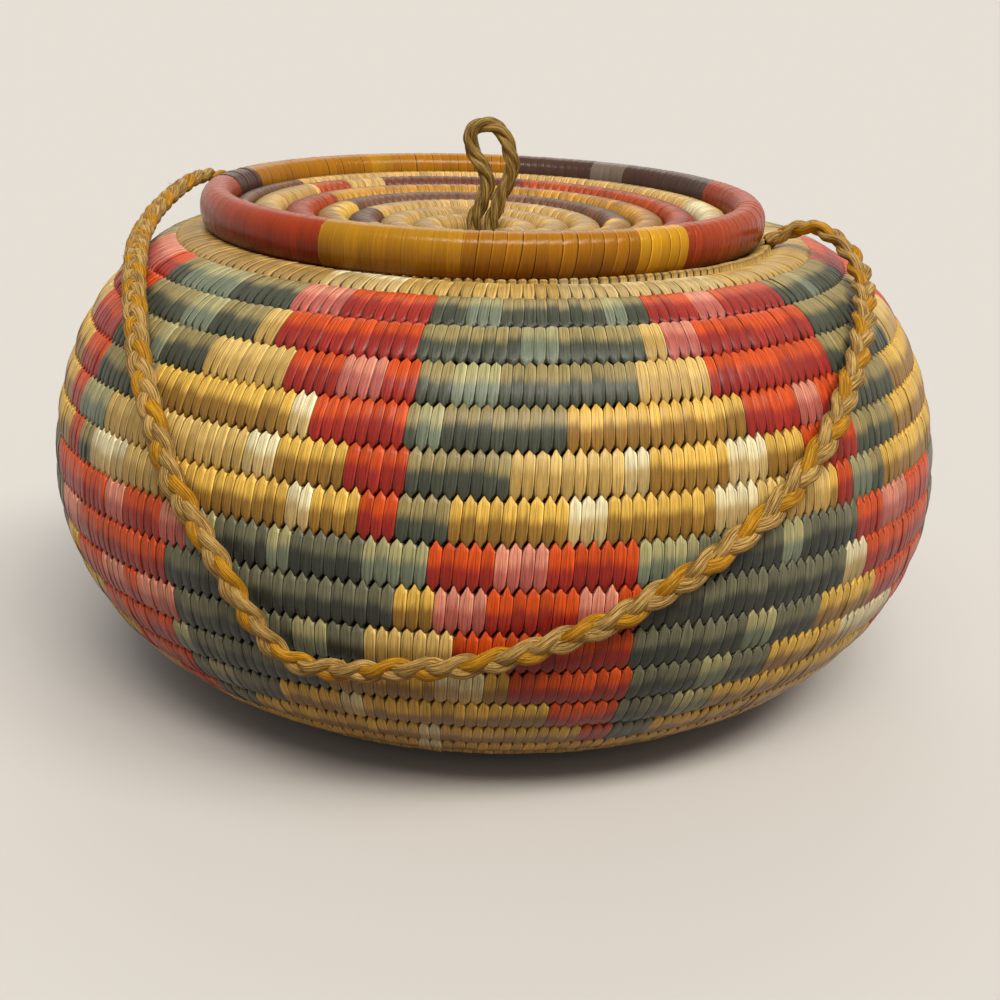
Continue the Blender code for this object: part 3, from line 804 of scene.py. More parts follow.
# The same points as places round the section, for the materials
AROUND = np.array([
    1.1, 1.0, 0.9, 0.68, 0.35, 0, -0.35, -0.68, -0.9, -1.0, -1.1, -1.3, -1.65, -2.35, -2.7,
])
# For each column: place across the strip, reach of its tooth, and how deep it lies in metres
COLUMNS = np.array([0.0, 0.05, 0.5, 0.96])
TOOTH = np.array([-1.0, -0.7, 1.0, -0.7])
JOINT_DEPTH = np.array([0.00030, -0.00008, 0.0, 0.00006])
print("points in a strip:", len(COLUMNS) * len(SECTION))

# Rounds below the neck at which each zone starts, and strips in a full round there. The
# first zone can do without the half, because its teeth are nearly level.
ZONES = (
    (-1 - 150 / 360, 186.26), (0.5, 222.5), (2.5, 260.5), (12.5, 220.5),
    (14.5, 170.5), (16.5, 120.5), (18.5, 70.5), (20.5, 30.5),
)


# %% Where every stitch starts
def stitch_places():
    """Rounds below the neck at which the strips start, from the mouth to the foot."""
    ends = [start for start, _ in ZONES[1:]] + [FIRST_ROUND]
    places = []
    for (start, per_round), end in zip(ZONES, ends):
        count = round((end - start) * per_round)
        places.append(np.linspace(start, end, count, endpoint=False))
    return np.append(np.concatenate(places), FIRST_ROUND)


PLACES = stitch_places()
print("stitches in the bowl:", len(PLACES) - 1)

# %% [markdown]
# ## The pattern
#
# Two friezes of stepped triangles run round the belly. In each triangle the left
# half is red and the right half is olive. It stands on its tip, so each round has a
# shorter run of each colour than the round above. In the upper frieze the triangles
# touch along their top, and in the lower frieze they nearly do. Seven of them go
# round the basket. A weaver counts stitches, so no two are exactly alike.
#
# The runs are given in degrees of bearing from the middle line of a triangle. A
# second list holds the places where the weaver ran out of a strip and went on with
# one from another bundle, which is paler. A few of its runs are painted shade instead:
# the darker tan at the left of the two neck rounds and the pink at the left of round 2.

# %% Steps of the two friezes
# Middle line in degrees: widths of the red run, then of the olive run, from the top round down
UPPER_FRIEZE = {
    -161: ((24, 21, 17, 13, 8, 4), (27, 25, 20, 14, 9, 4)),
    -110: ((24, 21, 17, 13, 8, 4), (27, 25, 20, 14, 9, 4)),
    -60: ((24, 20, 14, 8, 7, 4), (30, 27, 21, 14, 9, 4)),
    -9.5: ((20, 20, 17, 12, 7, 4), (31, 29, 26, 18, 12, 5)),
    47.5: ((26, 24, 21, 18, 10, 5), (26, 25, 19, 13, 9, 4)),
    98: ((25, 22, 18, 13, 8, 4), (27, 25, 20, 14, 9, 4)),
    148: ((24, 21, 17, 13, 8, 4), (27, 25, 20, 14, 9, 4)),
}
LOWER_FRIEZE = {
    -140: ((22, 21, 19, 15, 11, 5), (27, 25, 22, 18, 12, 5)),
    -90: ((22, 21, 19, 15, 11, 5), (25, 24, 22, 18, 12, 5)),
    -39.5: ((30, 26, 22, 18, 13, 8), (31, 30, 26, 21, 14, 7)),
    16: ((24, 22, 20, 14, 9, 4), (30, 28, 24, 18, 12, 6)),
    70: ((24, 22, 19, 14, 10, 5), (27, 25, 21, 17, 12, 5)),
    120: ((22, 21, 19, 15, 11, 5), (27, 25, 21, 17, 12, 5)),
    170: ((22, 21, 19, 15, 11, 5), (27, 25, 22, 18, 12, 5)),
}
print("triangles in the friezes:", len(UPPER_FRIEZE), len(LOWER_FRIEZE))

# %% Strips from another bundle, and a few runs of painted shade
# Round: first and last bearing in degrees, leaf
SPLICES = {
    # Rounds 0 and 1: the tan from -88 to -29 is painted shade under the rim at the left
    0: ((-88, -29, "tan"), (-29, -16, "cream"), (10, 16, "cream")),
    1: ((-88, -29, "tan"), (-29, -16, "cream"), (10, 40, "cream")),
    # Round 2: the pink from -84 to -66 dulls the red at the left as painted shade
    2: ((-84, -66, "pink"), (-55, -42, "pale olive"), (-30, -22, "pink"),
        (-4, 0, "pale olive"), (15, 18, "pale olive"), (29, 34, "pink"), (55, 59, "pale olive")),
    3: ((-48, -41, "pale olive"), (3, 8, "pale olive"), (23, 27, "pink")),
    4: ((-50, -46, "pale olive"), (-19, -14, "pink"), (-5, 0, "pale olive")),
    5: ((-24, -21, "cream"), (-9, -6, "pale olive"), (39, 43, "pink")),
    6: ((-62, -53, "pale olive"), (-53, -29, "natural"), (-29, -25, "cream"),
        (2, 14, "natural"), (14, 17, "cream"), (26, 32, "cream")),
    7: ((-55, -48, "cream"), (-48, -40, "natural"), (-23, -20, "cream"), (8, 12, "cream"),
        (25, 30, "cream"), (30, 41, "natural"), (45, 49, "pale olive")),
    8: ((-51, -47, "pink"), (-40, -36, "pink"), (-36, -32, "pale olive"),
        (-24, -22, "pale olive"), (-14, -7, "pale olive"), (1, 6, "pink"),
        (16, 22, "pale olive"), (34, 36, "pale olive"), (52, 58, "pink")),
    9: ((-66, -59, "pink"), (-6, 0, "pink"), (10, 13, "pink"), (44, 48, "cream")),
    10: ((-53, -48, "pink"), (-45, -38, "pink"), (-22, -17, "pale olive"),
        (-13, -4, "natural"), (29, 33, "pale olive")),
    11: ((-40, -37, "pale olive"), (-6, -1, "cream"), (25, 28, "pale olive"), (46, 60, "cream")),
    12: ((-37, -33, "pale olive"), (-17, -15, "cream"), (22, 28, "pale olive")),
    13: ((-8, -6, "cream"),),
    14: ((-9, -6, "cream"),),
}
print("splices at the front:", sum(len(runs) for runs in SPLICES.values()))


# %% Colour of every stitch
BEHIND = range(85, 275, 9)  # bearings at which a splice starts at the back
PALER = {"red": "pink", "olive": "pale olive", "slate": "pale olive", "gold": "cream"}


def leaf_of_stitches(rounds):
    """The leaf of the stitches at these rounds below the neck, as numbers in LEAF_LIST."""
    # Rows are counted from the top, and the next row begins behind, at 180 degrees
    bearing = (np.degrees(-2 * math.pi * rounds) + 180) % 360 - 180
    row = np.round(rounds + 1 + bearing / 360).astype(int)
    leaf = np.full(len(rounds), LEAF_NUMBER["natural"])
    leaf[(row >= 5) & (row <= 14)] = LEAF_NUMBER["gold"]

    def dye(place, start, end, name):
        inside = (bearing - start) % 360 < end - start
        leaf[(row == place) & inside] = LEAF_NUMBER[name]

    for first_row, frieze, olive in ((2, UPPER_FRIEZE, "olive"), (8, LOWER_FRIEZE, "slate")):
        for middle, (_, runs) in frieze.items():
            for step, width in enumerate(runs):
                dye(first_row + step, middle, middle + width, olive)
        for middle, (runs, _) in frieze.items():
            for step, width in enumerate(runs):
                dye(first_row + step, middle - width, middle, "red")
    for place, runs in SPLICES.items():
        for start, end, name in runs:
            dye(place, start, end, name)

    # Behind, where no photograph shows them, the splices fall by chance
    for start in BEHIND:
        place, width = int(random.integers(2, 14)), random.uniform(3, 8)
        inside = (row == place) & ((bearing - start) % 360 < width)
        for name, paler in PALER.items():
            leaf[inside & (leaf == LEAF_NUMBER[name])] = LEAF_NUMBER[paler]
    return leaf


MIDDLES = (PLACES[1:] + PLACES[:-1]) / 2
STITCH_LEAF = leaf_of_stitches(MIDDLES)
used = np.bincount(STITCH_LEAF, minlength=len(LEAF))
print("stitches of each leaf:", {name: int(n) for name, n in zip(LEAF, used) if n})

# %% [markdown]
# ## The wall
#
# The wall is one spiral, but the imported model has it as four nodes, so it is
# made as four skins that follow one another. The teeth are long at the belly. Near
# the neck the strips lie closer together and their tops are nearly level.
#
# Every strip also gets a small accident of its own: a little higher or lower, a
# little tilted, a little wider or narrower. The slant is the same for all, because
# the weaver always pulls the strip the same way.

# %% Strength of the teeth
TOOTH_ROUNDS = (-2, 0.5, 2.0, 3.5, 6, 9, 12, 14, 22)
TOOTH_ABOVE = (0.02, 0.03, 0.06, 0.14, 0.17, 0.20, 0.20, 0.16, 0.10)
TOOTH_BELOW = (0.08, 0.10, 0.13, 0.16, 0.17, 0.15, 0.12, 0.12, 0.10)
NARROW_ABOVE = (0.1, 0.1, 0.1, 0.2, 0.25, 0.35, 0.40, 0.35, 0.25)
NARROW_BELOW = (0.3, 0.35, 0.45, 0.45, 0.40, 0.35, 0.30, 0.30, 0.25)
GAP_DEPTH = 0.0006  # how deep the gap between two narrowed ends is
FIRST_LIFT = 0.003  # how far the first round rides up beside the lid, at the right
LIFT_ROUNDS, LIFT_SHARE = (-1.40, -1.30, -1.10, -0.85), (0.3, 1, 1, 0)
SLANT = 0.0004  # how far a strip's top leans to the right, from crest to seam
# What chance does to a strip: share of its width, height and tilt in metres, share of its tooth
WANDER, UNEVEN, MEAN_TILT, TILT, TIP_WANDER = 0.04, 0.00008, 0.00008, 0.00012, 0.22
EYE_HOLE, FLOOR_GAP = 0.0004, 0.0001  # least radius and least height of a point
SLANT_LIMIT = 0.02  # inside this radius a strip leans no further
AT_END = 0.01  # a band that comes this near to the coil's end, in rounds, holds that end


def thinned(share):
    """Thickness of a free end, as a share of the full coil."""
    return TIP + (1 - TIP) * np.sin(np.clip(share, 0, 1) * math.pi / 2)


# %% Columns of the strips
def strip_columns(inside):
    """For each column of these strips: round, height, tooth, way off the middle, and if a joint."""
    starts, ends = PLACES[inside], PLACES[inside + 1]
    wander = random.normal(0, WANDER, len(inside) + 1) * np.append(ends - starts, 0)
    wander[[0, -1]] = 0
    starts, ends = starts + wander[:-1], ends + wander[1:]
    lift = random.normal(0, UNEVEN, (len(inside), 1))
    tilt = random.normal(MEAN_TILT, TILT, (len(inside), 1))
    tip = random.normal(1, TIP_WANDER, (len(inside), 1))

    # The last number of each row is for one more joint, which closes the last strip
    width, joint = (ends - starts)[:, None], COLUMNS == 0
    height = np.where(joint, -JOINT_DEPTH[0], lift - JOINT_DEPTH + tilt * (COLUMNS - 0.5))
    rows = (
        (starts[:, None] + width * COLUMNS, ends[-1]),
        (height, -JOINT_DEPTH[0]),
        (TOOTH * tip, TOOTH[0]),
        ((COLUMNS - 0.5) * ~joint * width, 0),
        (np.tile(joint, (len(inside), 1)), True),
    )
    return [np.append(values, last)[:, None] for values, last in rows]


# %% Free ends of the coil
def thickness_share(rounds, top, bottom):
    """1 along a band, and less where the band holds one of the coil's two free ends."""
    share = np.ones_like(rounds)
    if top < ZONES[0][0] + AT_END:
        share = thinned((rounds - top) / END_TAPER)
    if bottom > FIRST_ROUND - AT_END:
        share = np.minimum(share, thinned((bottom - rounds) / END_TAPER))
    return share


# %% One band of the wall
def wall_band(name, top, bottom):
    """The stitches between two places on the spiral, given in rounds below the neck."""
    inside = np.flatnonzero((MIDDLES > top) & (MIDDLES < bottom))
    rounds, height, tooth, off_middle, joint = strip_columns(inside)
    across, over, share = SECTION.T
    middle, _, thickness = outline_at(rounds)
    above, below, narrow_above, narrow_below = (
        np.interp(rounds, TOOTH_ROUNDS, values)
        for values in (TOOTH_ABOVE, TOOTH_BELOW, NARROW_ABOVE, NARROW_BELOW)
    )

    # First in the flat, as radius and height: teeth, gaps, the lifted round, the free ends
    narrow = np.where(across > 0, narrow_above, narrow_below) * share * (over > 0)
    across = across * (1 + np.where(across > 0, above, below) * tooth * share)
    place, outward, _ = outline_at(rounds - across / 2)
    gap = GAP_DEPTH * narrow * joint
    rise = (thickness - SEAM_GAP) / 2 * over + (height - gap) * np.sign(over)
    flat = place + outward * rise[..., None]
    flat[..., 1] += FIRST_LIFT * np.interp(rounds, LIFT_ROUNDS, LIFT_SHARE)
    flat = middle + (flat - middle) * thickness_share(rounds, top, bottom)[..., None]

    # Then turned round the basket, with the strips' slant and their narrowed ends
    radius = np.maximum(flat[..., 0], EYE_HOLE)
    lean = SLANT * np.clip(across, -1, 1) * (over > 0) / np.maximum(radius, SLANT_LIMIT)
    bearing = -2 * math.pi * (rounds - off_middle * narrow) + lean
    grid = turned(radius, bearing, np.maximum(flat[..., 1], FLOOR_GAP))

    leaf = np.repeat(STITCH_LEAF[inside], len(COLUMNS))
    along = np.append((inside[:, None] + COLUMNS).ravel(), inside[-1] + 1)
    piece = skin(name, grid, along, AROUND, LEAF_LIST, leaf, flat_strips=True)
    print(name, len(inside), "stitches,", len(piece.data.polygons), "faces")
    return piece


# %% Four bands on one spiral
BANDS = (
    ("neck_wrap", "neck_coil", ZONES[0][0], 0.5, "natural_wrap"),
    ("upper_wall_wrap", "upper_wall_coil", 0.5, 6.5, "olive_wrap"),
    ("lower_wall_wrap", "lower_wall_coil", 6.5, 12.5, "red_wrap"),
    ("base_wrap", "base_coil", 12.5, FIRST_ROUND, "gold_wrap"),
)
for name, node, top, bottom, slot in BANDS:
    band = wall_band(name, top, bottom)
    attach(band, "bowl")
    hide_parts(node)

# %% [markdown]
# ## The lid's rim
#
# The rim is the thickest coil of the basket, and it is wrapped alone, without stitches
# into a neighbour. Its strips are wide and glossy. In the red and pale gold runs they
# overlap so closely that the rim looks smooth. In the gold run at the front each joint
# shows as a dark line, every 4 mm or so.
#
# It is a closed ring of strips. Each run of colour has its own width of strip and its
# own depth of joint. The tight strips press the ring's section a little narrower than
# it is tall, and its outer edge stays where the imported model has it. Bearings are
# counted round the middle of the lid, which lies 6.5 mm to the left of the bowl's.

# %% Sizes of the lid and runs of the rim
LID_MIDDLE = np.array([-0.0065, 0.0, 0.0])


def ring_sizes(node):
    """Half thickness, radius of the middle line, and height of a packed ring."""
    middle, sides = node_box(node)
    return sides[2] / 2, sides[1] / 2 - sides[2] / 2, middle[2]


RIM_HALF, RIM_RADIUS, RIM_HEIGHT = ring_sizes("lid_rim")
RIM_SLIM = 0.0016  # by how much the rim is narrower, on each side of its middle, than it is tall

# First bearing in degrees, leaf, width of a strip in mm, depth of a joint in mm, lean in mm
RIM_RUNS = (
    (-96, "rim red", 2.6, 0.05, 0.2),
    (-30, "rim pale gold", 4.6, 0.10, 0.2),
    (-3, "rim gold", 4.1, 0.26, 0.8),
    (30, "rim yellow", 3.9, 0.28, 0.9),
    (41.5, "rim bright red", 2.9, 0.24, 0.9),
    (112, "rim brown", 3.0, 0.14, 0.5),
    (142.5, "rim grey", 3.0, 0.14, 0.5),
    (152, "rim brown", 3.0, 0.14, 0.5),
    (172, "rim gold", 3.6, 0.08, 0.3),
    (205, "rim pale gold", 3.6, 0.08, 0.3),
    (211, "rim gold", 3.6, 0.08, 0.3),
    (250, "rim brown", 3.4, 0.35, 2.4),
)
# For each column: place across the strip, and how deep it lies as a share of the joint
RIM_COLUMNS = np.array([0.0, 0.10, 0.5, 0.90])
RIM_JOINT = np.array([1.0, 0.15, -0.25, 0.0])
RIM_PROUD, RIM_WANDER, RIM_LEAN = 0.00025, 0.07, (0.12, 0.15)  # what chance does to a strip
RIM_POINTS, COIL_POINTS = 24, 16
RIM_SQUARED, DISH_SQUARED = 2.3, 2.4  # 2 is an oval, and more is squarer
print("rim thickness in mm:", round(2000 * RIM_HALF, 1))


# %% The rim's strips
def squarish(turn, power):
    """How much further out than a circle a squarish section is, at these angles."""
    return 1 / (np.abs(np.cos(turn)) ** power + np.abs(np.sin(turn)) ** power) ** (1 / power)


def rim_grid():
    """Points of the rim's skin, with its map and the leaf of each column."""
    # Four columns for each strip, run by run
    bearings, depths, leans, leaf, along = [], [], [], [], []
    ends = [run[0] for run in RIM_RUNS[1:]] + [RIM_RUNS[0][0] + 360]
    number = 0
    for (start, name, width, depth, lean), end in zip(RIM_RUNS, ends):
        count = max(1, round(math.radians(end - start) * (RIM_RADIUS + RIM_HALF) / (width / 1000)))
        step = (end - start) / count
        for edge in np.linspace(start, end, count, endpoint=False):
            proud = random.normal(0, RIM_PROUD) * depth
            edge_now = edge + (random.normal(0, RIM_WANDER) * step if edge != start else 0)
            bearings += list(edge_now + step * RIM_COLUMNS)
            depths += list(RIM_JOINT * depth / 1000 - proud * (RIM_COLUMNS > 0))
            leaning = lean + random.normal(0, RIM_LEAN[0] + RIM_LEAN[1] * lean)
            leans += [leaning / 1000] * len(RIM_COLUMNS)
            leaf += [LEAF_NUMBER[name]] * len(RIM_COLUMNS)
            along += list(number + RIM_COLUMNS)
            number += 1

    # A squarish section, pressed narrower from its inner side, with the strips' lean
    turn = round_angles(RIM_POINTS, -math.pi / 2)
    bearings, depths, leans = (np.array(row)[:, None] for row in (bearings, depths, leans))
    half = (RIM_HALF - depths) * squarish(turn, RIM_SQUARED)
    radius = RIM_RADIUS + RIM_SLIM + half * (1 - RIM_SLIM / RIM_HALF) * np.cos(turn)
    height = RIM_HEIGHT + half * np.sin(turn)
    bearing = np.radians(bearings) + leans * np.sin(turn) / RIM_RADIUS
    grid = LID_MIDDLE + turned(radius, bearing, height)
    return grid, np.array(along), np.sin(turn), np.array(leaf)


grid, along, around, leaf = rim_grid()
lid_rim = skin("lid_rim_wrap", grid, along, around, LEAF_LIST, leaf, closed=True, flat_strips=True)
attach(lid_rim, "lid")
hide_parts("lid_rim")
print("rim strips:", round(along[-1]), "radius in mm:", round(1000 * RIM_RADIUS, 1))

# %% [markdown]
# ## The dish
#
# Inside the rim the lid is one more coil, wound from the eye in the middle outwards,
# and it sinks by 7 mm towards the eye. Its last round thins out against the rim, and
# the thin end runs on beside it for two fifths of a turn, so that no gap shows there.
# The colours change where the weaver began a new strip, so the rings of colour are not
# closed: maroon becomes brick red, and brown becomes gold.

# %% Sizes of the dish
LID_COIL = 0.0104
EYE_RADIUS = 0.0062
EYE_PLAY = 0.0003
DISH_DROP, LID_DEPTH = 0.0032, 0.007  # how deep the dish's edge and its eye lie
DISH_CURVE = 1.6  # 1 is a cone, and more is flatter in the middle
LID_TAIL, LID_END = 0.8, math.radians(-87)  # rounds in which the coil ends, and where
RUN_OUT = 0.42  # rounds by which the wrapped end runs on, ever thinner, beside the rim
DISH_FULL = (LID_COIL - SEAM_GAP) / 2
DISH_INSIDE = RIM_RADIUS - RIM_HALF
DISH_OUTSIDE = DISH_INSIDE + 2 * RIM_SLIM  # as far as the slimmer rim leaves room
DISH_EDGE = DISH_INSIDE - DISH_FULL
DISH_START = EYE_RADIUS + DISH_FULL + EYE_PLAY
DISH_ROUNDS = (DISH_INSIDE - SEAM_GAP - DISH_FULL - DISH_START) / LID_COIL
DISH_CUTS = 4000  # steps in which the spiral's length is measured

# Width of a strip in metres, and for each column of it: place across, depth, and reach
DISH_STRIP = 0.0033
DISH_COLUMNS = np.array([0, 0.25, 0.5, 0.75])
DISH_JOINT = (0.00022, 0.00003, 0.0, 0.00003)
DISH_REACH = (-1, 0, 1, 0)
DISH_PROUD = 0.0001  # how far the strips stand off the bundle
DISH_TOOTH = 0.08  # how far they reach towards the next round, as a share of half the coil
TOOTH_SIDE = 0.6  # the teeth are on the sides, which are this far from the middle and more
THIN_END = 0.003  # where the coil's half is thinner than this, it has no teeth
END_RISE = 0.9  # 1 would keep the top of the thin end level with the round beside it
START_EASE, STOP_EASE = np.linspace(0.45, 1, 5), np.linspace(1, 0.5, 5)  # rounded ends

# Ring counted inwards from the rim, first and last bearing in degrees, leaf
DISH_RUNS = (
    # tan, the colour of most rings, is undyed leaf painted darker: painted shade inside the rim
    (0, 0, 360, "tan"), (0, 238, 276, "brown"), (0, 78, 108, "cream"),
    (1, 0, 360, "tan"), (1, 227, 241, "brick"), (1, 168, 214, "maroon"), (1, 40, 168, "brick"),
    (2, 0, 360, "amber"), (2, 246, 310, "brick"),
    (3, 0, 360, "gold"), (3, 92, 250, "brown"),
    (4, 0, 360, "tan"), (4, 253, 300, "brown"),
)
print("rounds in the dish:", round(DISH_ROUNDS + LID_TAIL, 1))


def dish_height(radius):
    sunk = 1 - np.minimum(1, radius / DISH_EDGE) ** DISH_CURVE
    return RIM_HEIGHT - DISH_DROP - LID_DEPTH * sunk


# %% Places and thickness along the dish's coil
def dish_places():
    """Places of the columns, counted in strips and in rounds from the eye."""
    fine = np.linspace(0, DISH_ROUNDS + LID_TAIL + RUN_OUT, DISH_CUTS)
    reach = np.minimum(DISH_START + LID_COIL * fine, DISH_OUTSIDE)
    length = running_total((reach[1:] + reach[:-1]) / 2 * 2 * math.pi * np.diff(fine))
    count = round(length[-1] / DISH_STRIP)
    along = np.append(np.arange(count)[:, None] + DISH_COLUMNS, count)
    return along, np.interp(along, length / DISH_STRIP, fine)


def dish_coil(rounds):
    """Radius of the middle line, half the thickness, and whether it is the last round."""
    radius, full = DISH_START + LID_COIL * rounds, np.full(len(rounds), DISH_FULL + DISH_PROUD)

    # The last round has only the room that is left beside the rim, less and less of it
    room = DISH_OUTSIDE - (DISH_START + LID_COIL * (rounds - 1) + DISH_FULL) - SEAM_GAP
    last = room < LID_COIL
    radius[last] = (DISH_OUTSIDE - room / 2)[last]
    full[last] = np.minimum(full, room / 2)[last]
    full[-len(STOP_EASE):] *= STOP_EASE
    full[:len(START_EASE)] *= START_EASE
    return radius, full, last


# %% Leaf and shape of the dish's strips
def leaf_of_dish(rounds, bearing):
    """The leaf at these places, as numbers in LEAF_LIST. The rim's side is ring 0."""
    degrees = np.degrees(bearing) % 360
    off_end = (np.degrees(LID_END) % 360 - degrees) / 360
    ring = np.round(DISH_ROUNDS + LID_TAIL - rounds - off_end).astype(int)
    # Most of the dish is tan: undyed leaf painted darker, as painted shade inside the rim
    leaf = np.full(len(rounds), LEAF_NUMBER["tan"])
    for place, start, end, name in DISH_RUNS:
        leaf[(ring == place) & ((degrees - start) % 360 < end - start)] = LEAF_NUMBER[name]
    return leaf


def dish_grid():
    """Points of the dish's skin, with its map and the leaf of each column."""
    along, rounds = dish_places()
    radius, full, last = dish_coil(rounds)
    bearing = LID_END + 2 * math.pi * (rounds - DISH_ROUNDS - LID_TAIL)
    turn = round_angles(COIL_POINTS, -math.pi / 2)
    across, over = np.cos(turn), np.sin(turn)
    squared = squarish(turn, DISH_SQUARED)
    joint = np.resize(DISH_JOINT, len(rounds))
    thick = (full - joint * np.minimum(1, full / DISH_FULL))[:, None]
    tooth = DISH_TOOTH * np.resize(DISH_REACH, len(rounds))[:, None] * DISH_FULL
    toothed = (np.abs(across) > TOOTH_SIDE) * (full > THIN_END)[:, None]
    sideways = across * squared * thick + tooth * np.sign(across) * toothed
    level = dish_height(radius) + END_RISE * (DISH_FULL - full) * last
    upwards = over * squared * thick
    grid = turned(radius[:, None] + sideways, bearing[:, None], level[:, None] + upwards)
    around = 2 * turn / math.pi - 1  # -2 underneath, 0 on top and 2 underneath again
    return LID_MIDDLE + grid, along, around, leaf_of_dish(rounds, bearing)


# %% The dish
grid, along, around, leaf = dish_grid()
lid_dish = skin("lid_dish_wrap", grid, along, around, LEAF_LIST, leaf, flat_strips=True)
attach(lid_dish, "lid")
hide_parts("lid_coil")
print("dish strips:", round(along[-1]))

# %% [markdown]
# ## The collar under the lid
#
# A smaller wrapped ring is sewn under the dish and drops into the mouth, so that the
# lid can't slide off. The photograph can't show it. It is wrapped in undyed strips.

# %% Collar
COLLAR_HALF, COLLAR_RADIUS, COLLAR_HEIGHT = ring_sizes("lid_collar")
COLLAR_LEAN = 0.0006  # how far a strip leans from its underside to its top
# No seam of painted shade is drawn round the collar
COLLAR_MAP = 0.8  # the map stays short of 1, so no seam is drawn round the collar
count = round(2 * math.pi * COLLAR_RADIUS / DISH_STRIP)
turn = round_angles(COIL_POINTS, -math.pi / 2)
share = (np.arange(count)[:, None] + COLUMNS).ravel()
half = COLLAR_HALF - np.tile(JOINT_DEPTH, count)[:, None]
bearing = (share / count * 2 * math.pi)[:, None] + COLLAR_LEAN * np.sin(turn) / COLLAR_RADIUS
grid = LID_MIDDLE + turned(
    COLLAR_RADIUS + half * np.cos(turn), bearing, COLLAR_HEIGHT + half * np.sin(turn)
)
around = np.sin(turn) * COLLAR_MAP
collar = skin("lid_collar_wrap", grid, share, around, [LEAF["natural"]], closed=True)
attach(collar, "lid")
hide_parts("lid_collar")
print("collar strips:", count)

# %% [markdown]
# ## The lifting loop
#
# Three strands of brown raffia, twisted together and bent into a loop. Both ends go
# through the eye of the dish, and one knot under the lid holds them. The loop leans
# and is not quite even, as a cord does that has been pulled a few thousand times.

# %% Route of the loop, sideways and upwards in metres from the top of the eye
LOOP_ROUTE = (
    (-0.0030, 0.0000), (-0.0018, 0.0040), (-0.0002, 0.0080), (0.0010, 0.0118),
    (0.0010, 0.0152), (-0.0004, 0.0182), (-0.0024, 0.0211), (-0.0041, 0.0242),
    (-0.0049, 0.0274), (-0.0041, 0.0303), (-0.0018, 0.0320), (0.0014, 0.0322),
    (0.0045, 0.0309), (0.0066, 0.0281), (0.0080, 0.0245), (0.0090, 0.0207),
    (0.0090, 0.0172), (0.0078, 0.0138), (0.0058, 0.0094), (0.0041, 0.0045),
    (0.0030, 0.0000),
)
LOOP_STEP = 0.0005
LOOP_TWIST = 0.0230  # length of a full turn of the strands
LOOP_RADIUS, LOOP_STRAND, LOOP_FIBRE_TWIST = 0.0012, 0.0014, 240
LID_KNOT_CORD = 0.0023
EYE_TOP = dish_height(DISH_START) + DISH_FULL
EYE_FOOT = dish_height(DISH_START) - DISH_FULL

steps = [(LID_MIDDLE[0] + side, 0, EYE_TOP + up) for side, up in LOOP_ROUTE]
steps = [(steps[0][0], 0, EYE_FOOT), *steps, (steps[-1][0], 0, EYE_FOOT)]
loop_line = smooth_path(steps, LOOP_STEP)
loop_along = np.linspace(0, len(loop_line) * LOOP_STEP, len(loop_line))
front = np.tile((0.0, -1.0, 0.0), (len(loop_line), 1))
_, loop_side, loop_out = frames_along(loop_line, front)
twisted = []
for third in range(3):
    turn = 2 * math.pi * (loop_along / LOOP_TWIST + third / 3)
    offset = loop_side * np.cos(turn)[:, None] + loop_out * np.sin(turn)[:, None]
    line = loop_line + LOOP_RADIUS * offset
    twisted.append(strand(line, front, LOOP_STRAND, LOOP_STRAND, LOOP_FIBRE_TWIST, rough=0.06))
lid_loop = tube_grids("lid_twisted_loop", twisted, [BROWN_RAFFIA], (0, 0, 0))
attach(lid_loop, "lid")
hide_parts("lid_loop")

lid_knot = overhand_knot("lid_tied_knot", "lid_knot", LID_KNOT_CORD, BROWN_RAFFIA)
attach(lid_knot, "lid")
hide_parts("lid_knot")
print("loop length in mm:", round(1000 * distance_along(loop_line)[-1]))

# %% [markdown]
# ## Floor and light
#
# The floor is plain and pale, and so is what lies behind it. The light is soft and
# comes mostly from above and from the camera's side. Six wide soft lamps stand side by
# side in a row, so the glossy rim shows one long highlight, as it does in daylight.
# The lamps at the left are weak, because that side of the basket is the darker one. A
# weak lamp behind keeps the back from going dull. The upper half of each round is
# bright and its lower half lies in its own shade.
#
# A floor as pale as this one would throw much light up under the belly, which is dark
# in the photograph. So the floor has its pale colour only for the camera and for
# reflections, and a darker one for the light that it throws back.

# %% Floor and backdrop
FLOOR_RADIUS = 40.0
bpy.ops.mesh.primitive_circle_add(vertices=96, radius=FLOOR_RADIUS, fill_type="NGON")
floor = bpy.context.object
floor.name = "floor"


def seen_directly(tree):
    """1 for a ray from the camera, off a gloss or through glass, and 0 for scattered light."""
    path = add_node(tree, "ShaderNodeLightPath").outputs
    seen = path["Is Camera Ray"]
    for ray in ("Is Glossy Ray", "Is Transmission Ray"):
        seen = add_node(
            tree, "ShaderNodeMath", {0: seen, 1: path[ray]}, operation="MAXIMUM"
        ).outputs[0]
    return seen


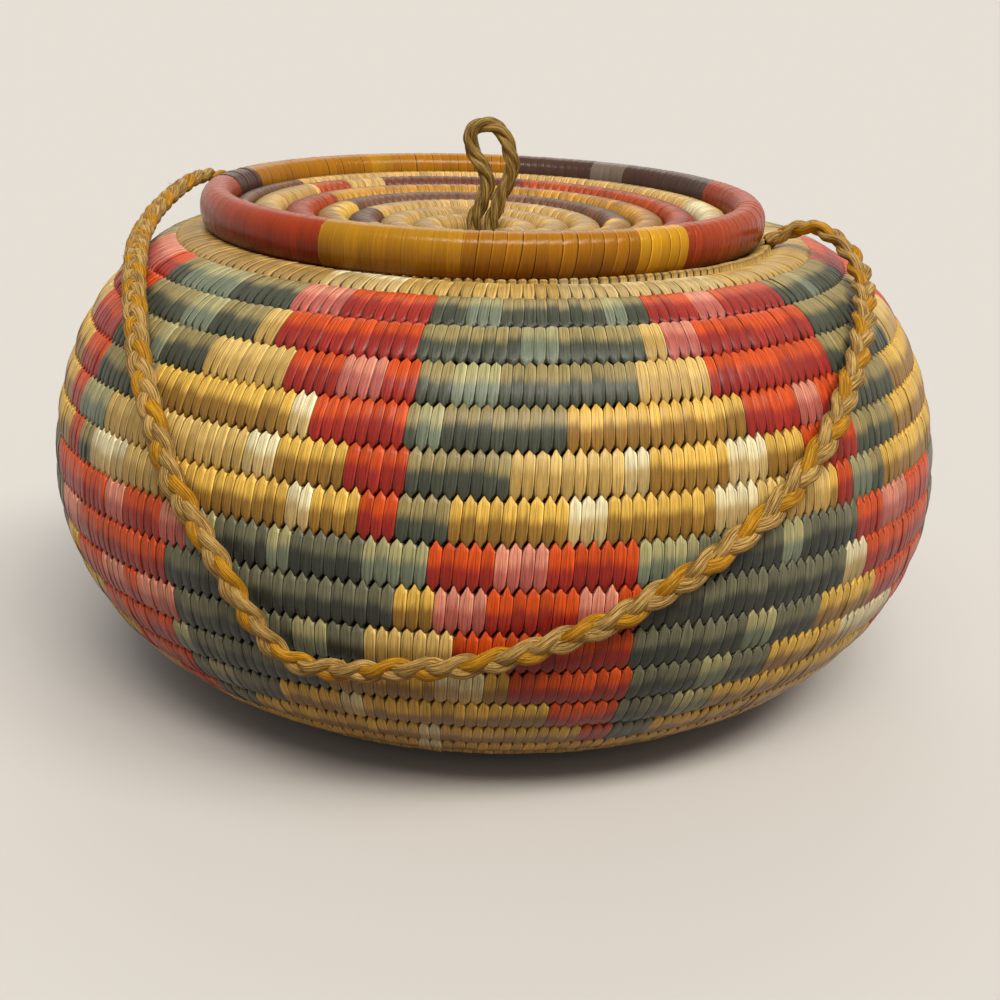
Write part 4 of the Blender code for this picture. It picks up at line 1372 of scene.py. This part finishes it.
paint = bpy.data.materials.new("matt_pale_board")
paint.use_nodes = True
board = paint.node_tree.nodes["Principled BSDF"]
board_colour = add_node(
    paint.node_tree, "ShaderNodeMix",
    {0: seen_directly(paint.node_tree), 6: linear("#7C6A52"), 7: linear("#D2CEC8")},
    data_type="RGBA",
).outputs[2]
paint.node_tree.links.new(board_colour, board.inputs["Base Color"])
board.inputs["Roughness"].default_value = 0.8
board.inputs["Specular IOR Level"].default_value = 0
floor.data.materials.append(paint)
print("floor radius in m:", FLOOR_RADIUS)

# %% Light from all around
SKY_LEVEL = 0.36  # how strongly the sky lights the basket, where 1 is what shows behind it
world = bpy.data.worlds.new("studio")
scene.world = world
world.use_nodes = True
background = world.node_tree.nodes["Background"]
seen = seen_directly(world.node_tree)
sky_colour = add_node(
    world.node_tree, "ShaderNodeMix", {0: seen, 6: linear("#DCE4EE"), 7: linear("#E7E0D6")},
    data_type="RGBA",
).outputs[2]
sky_strength = add_node(
    world.node_tree, "ShaderNodeMapRange", {"Value": seen, "To Min": SKY_LEVEL, "To Max": 1.0}
).outputs["Result"]
world.node_tree.links.new(sky_colour, background.inputs["Color"])
world.node_tree.links.new(sky_strength, background.inputs["Strength"])
print("sky level:", SKY_LEVEL)

# %% Lamps
# Bearing, height over the horizon, strength and width, with the angles in degrees
LAMPS = (
    (-44, 52, 0.05, 17), (-23, 52, 0.25, 17), (-2, 52, 0.92, 17),
    (19, 52, 1.00, 17), (40, 52, 0.76, 17), (61, 52, 0.52, 17),
    (180, 40, 0.45, 40),
)
for side, raised, level, spread in LAMPS:
    lamp = bpy.data.objects.new(f"lamp_{side}", bpy.data.lights.new(f"lamp_{side}", "SUN"))
    lamp.data.energy = level
    lamp.data.angle = math.radians(spread)
    lamp.data.color = linear("#FFF9F0")[:3]
    raised = math.radians(raised)
    towards = Vector(turned(math.cos(raised), math.radians(side), math.sin(raised)))
    lamp.rotation_euler = towards.to_track_quat("Z", "Y").to_euler()
    scene.collection.objects.link(lamp)
scene.view_settings.view_transform = "Standard"
print("lamps:", len(LAMPS))
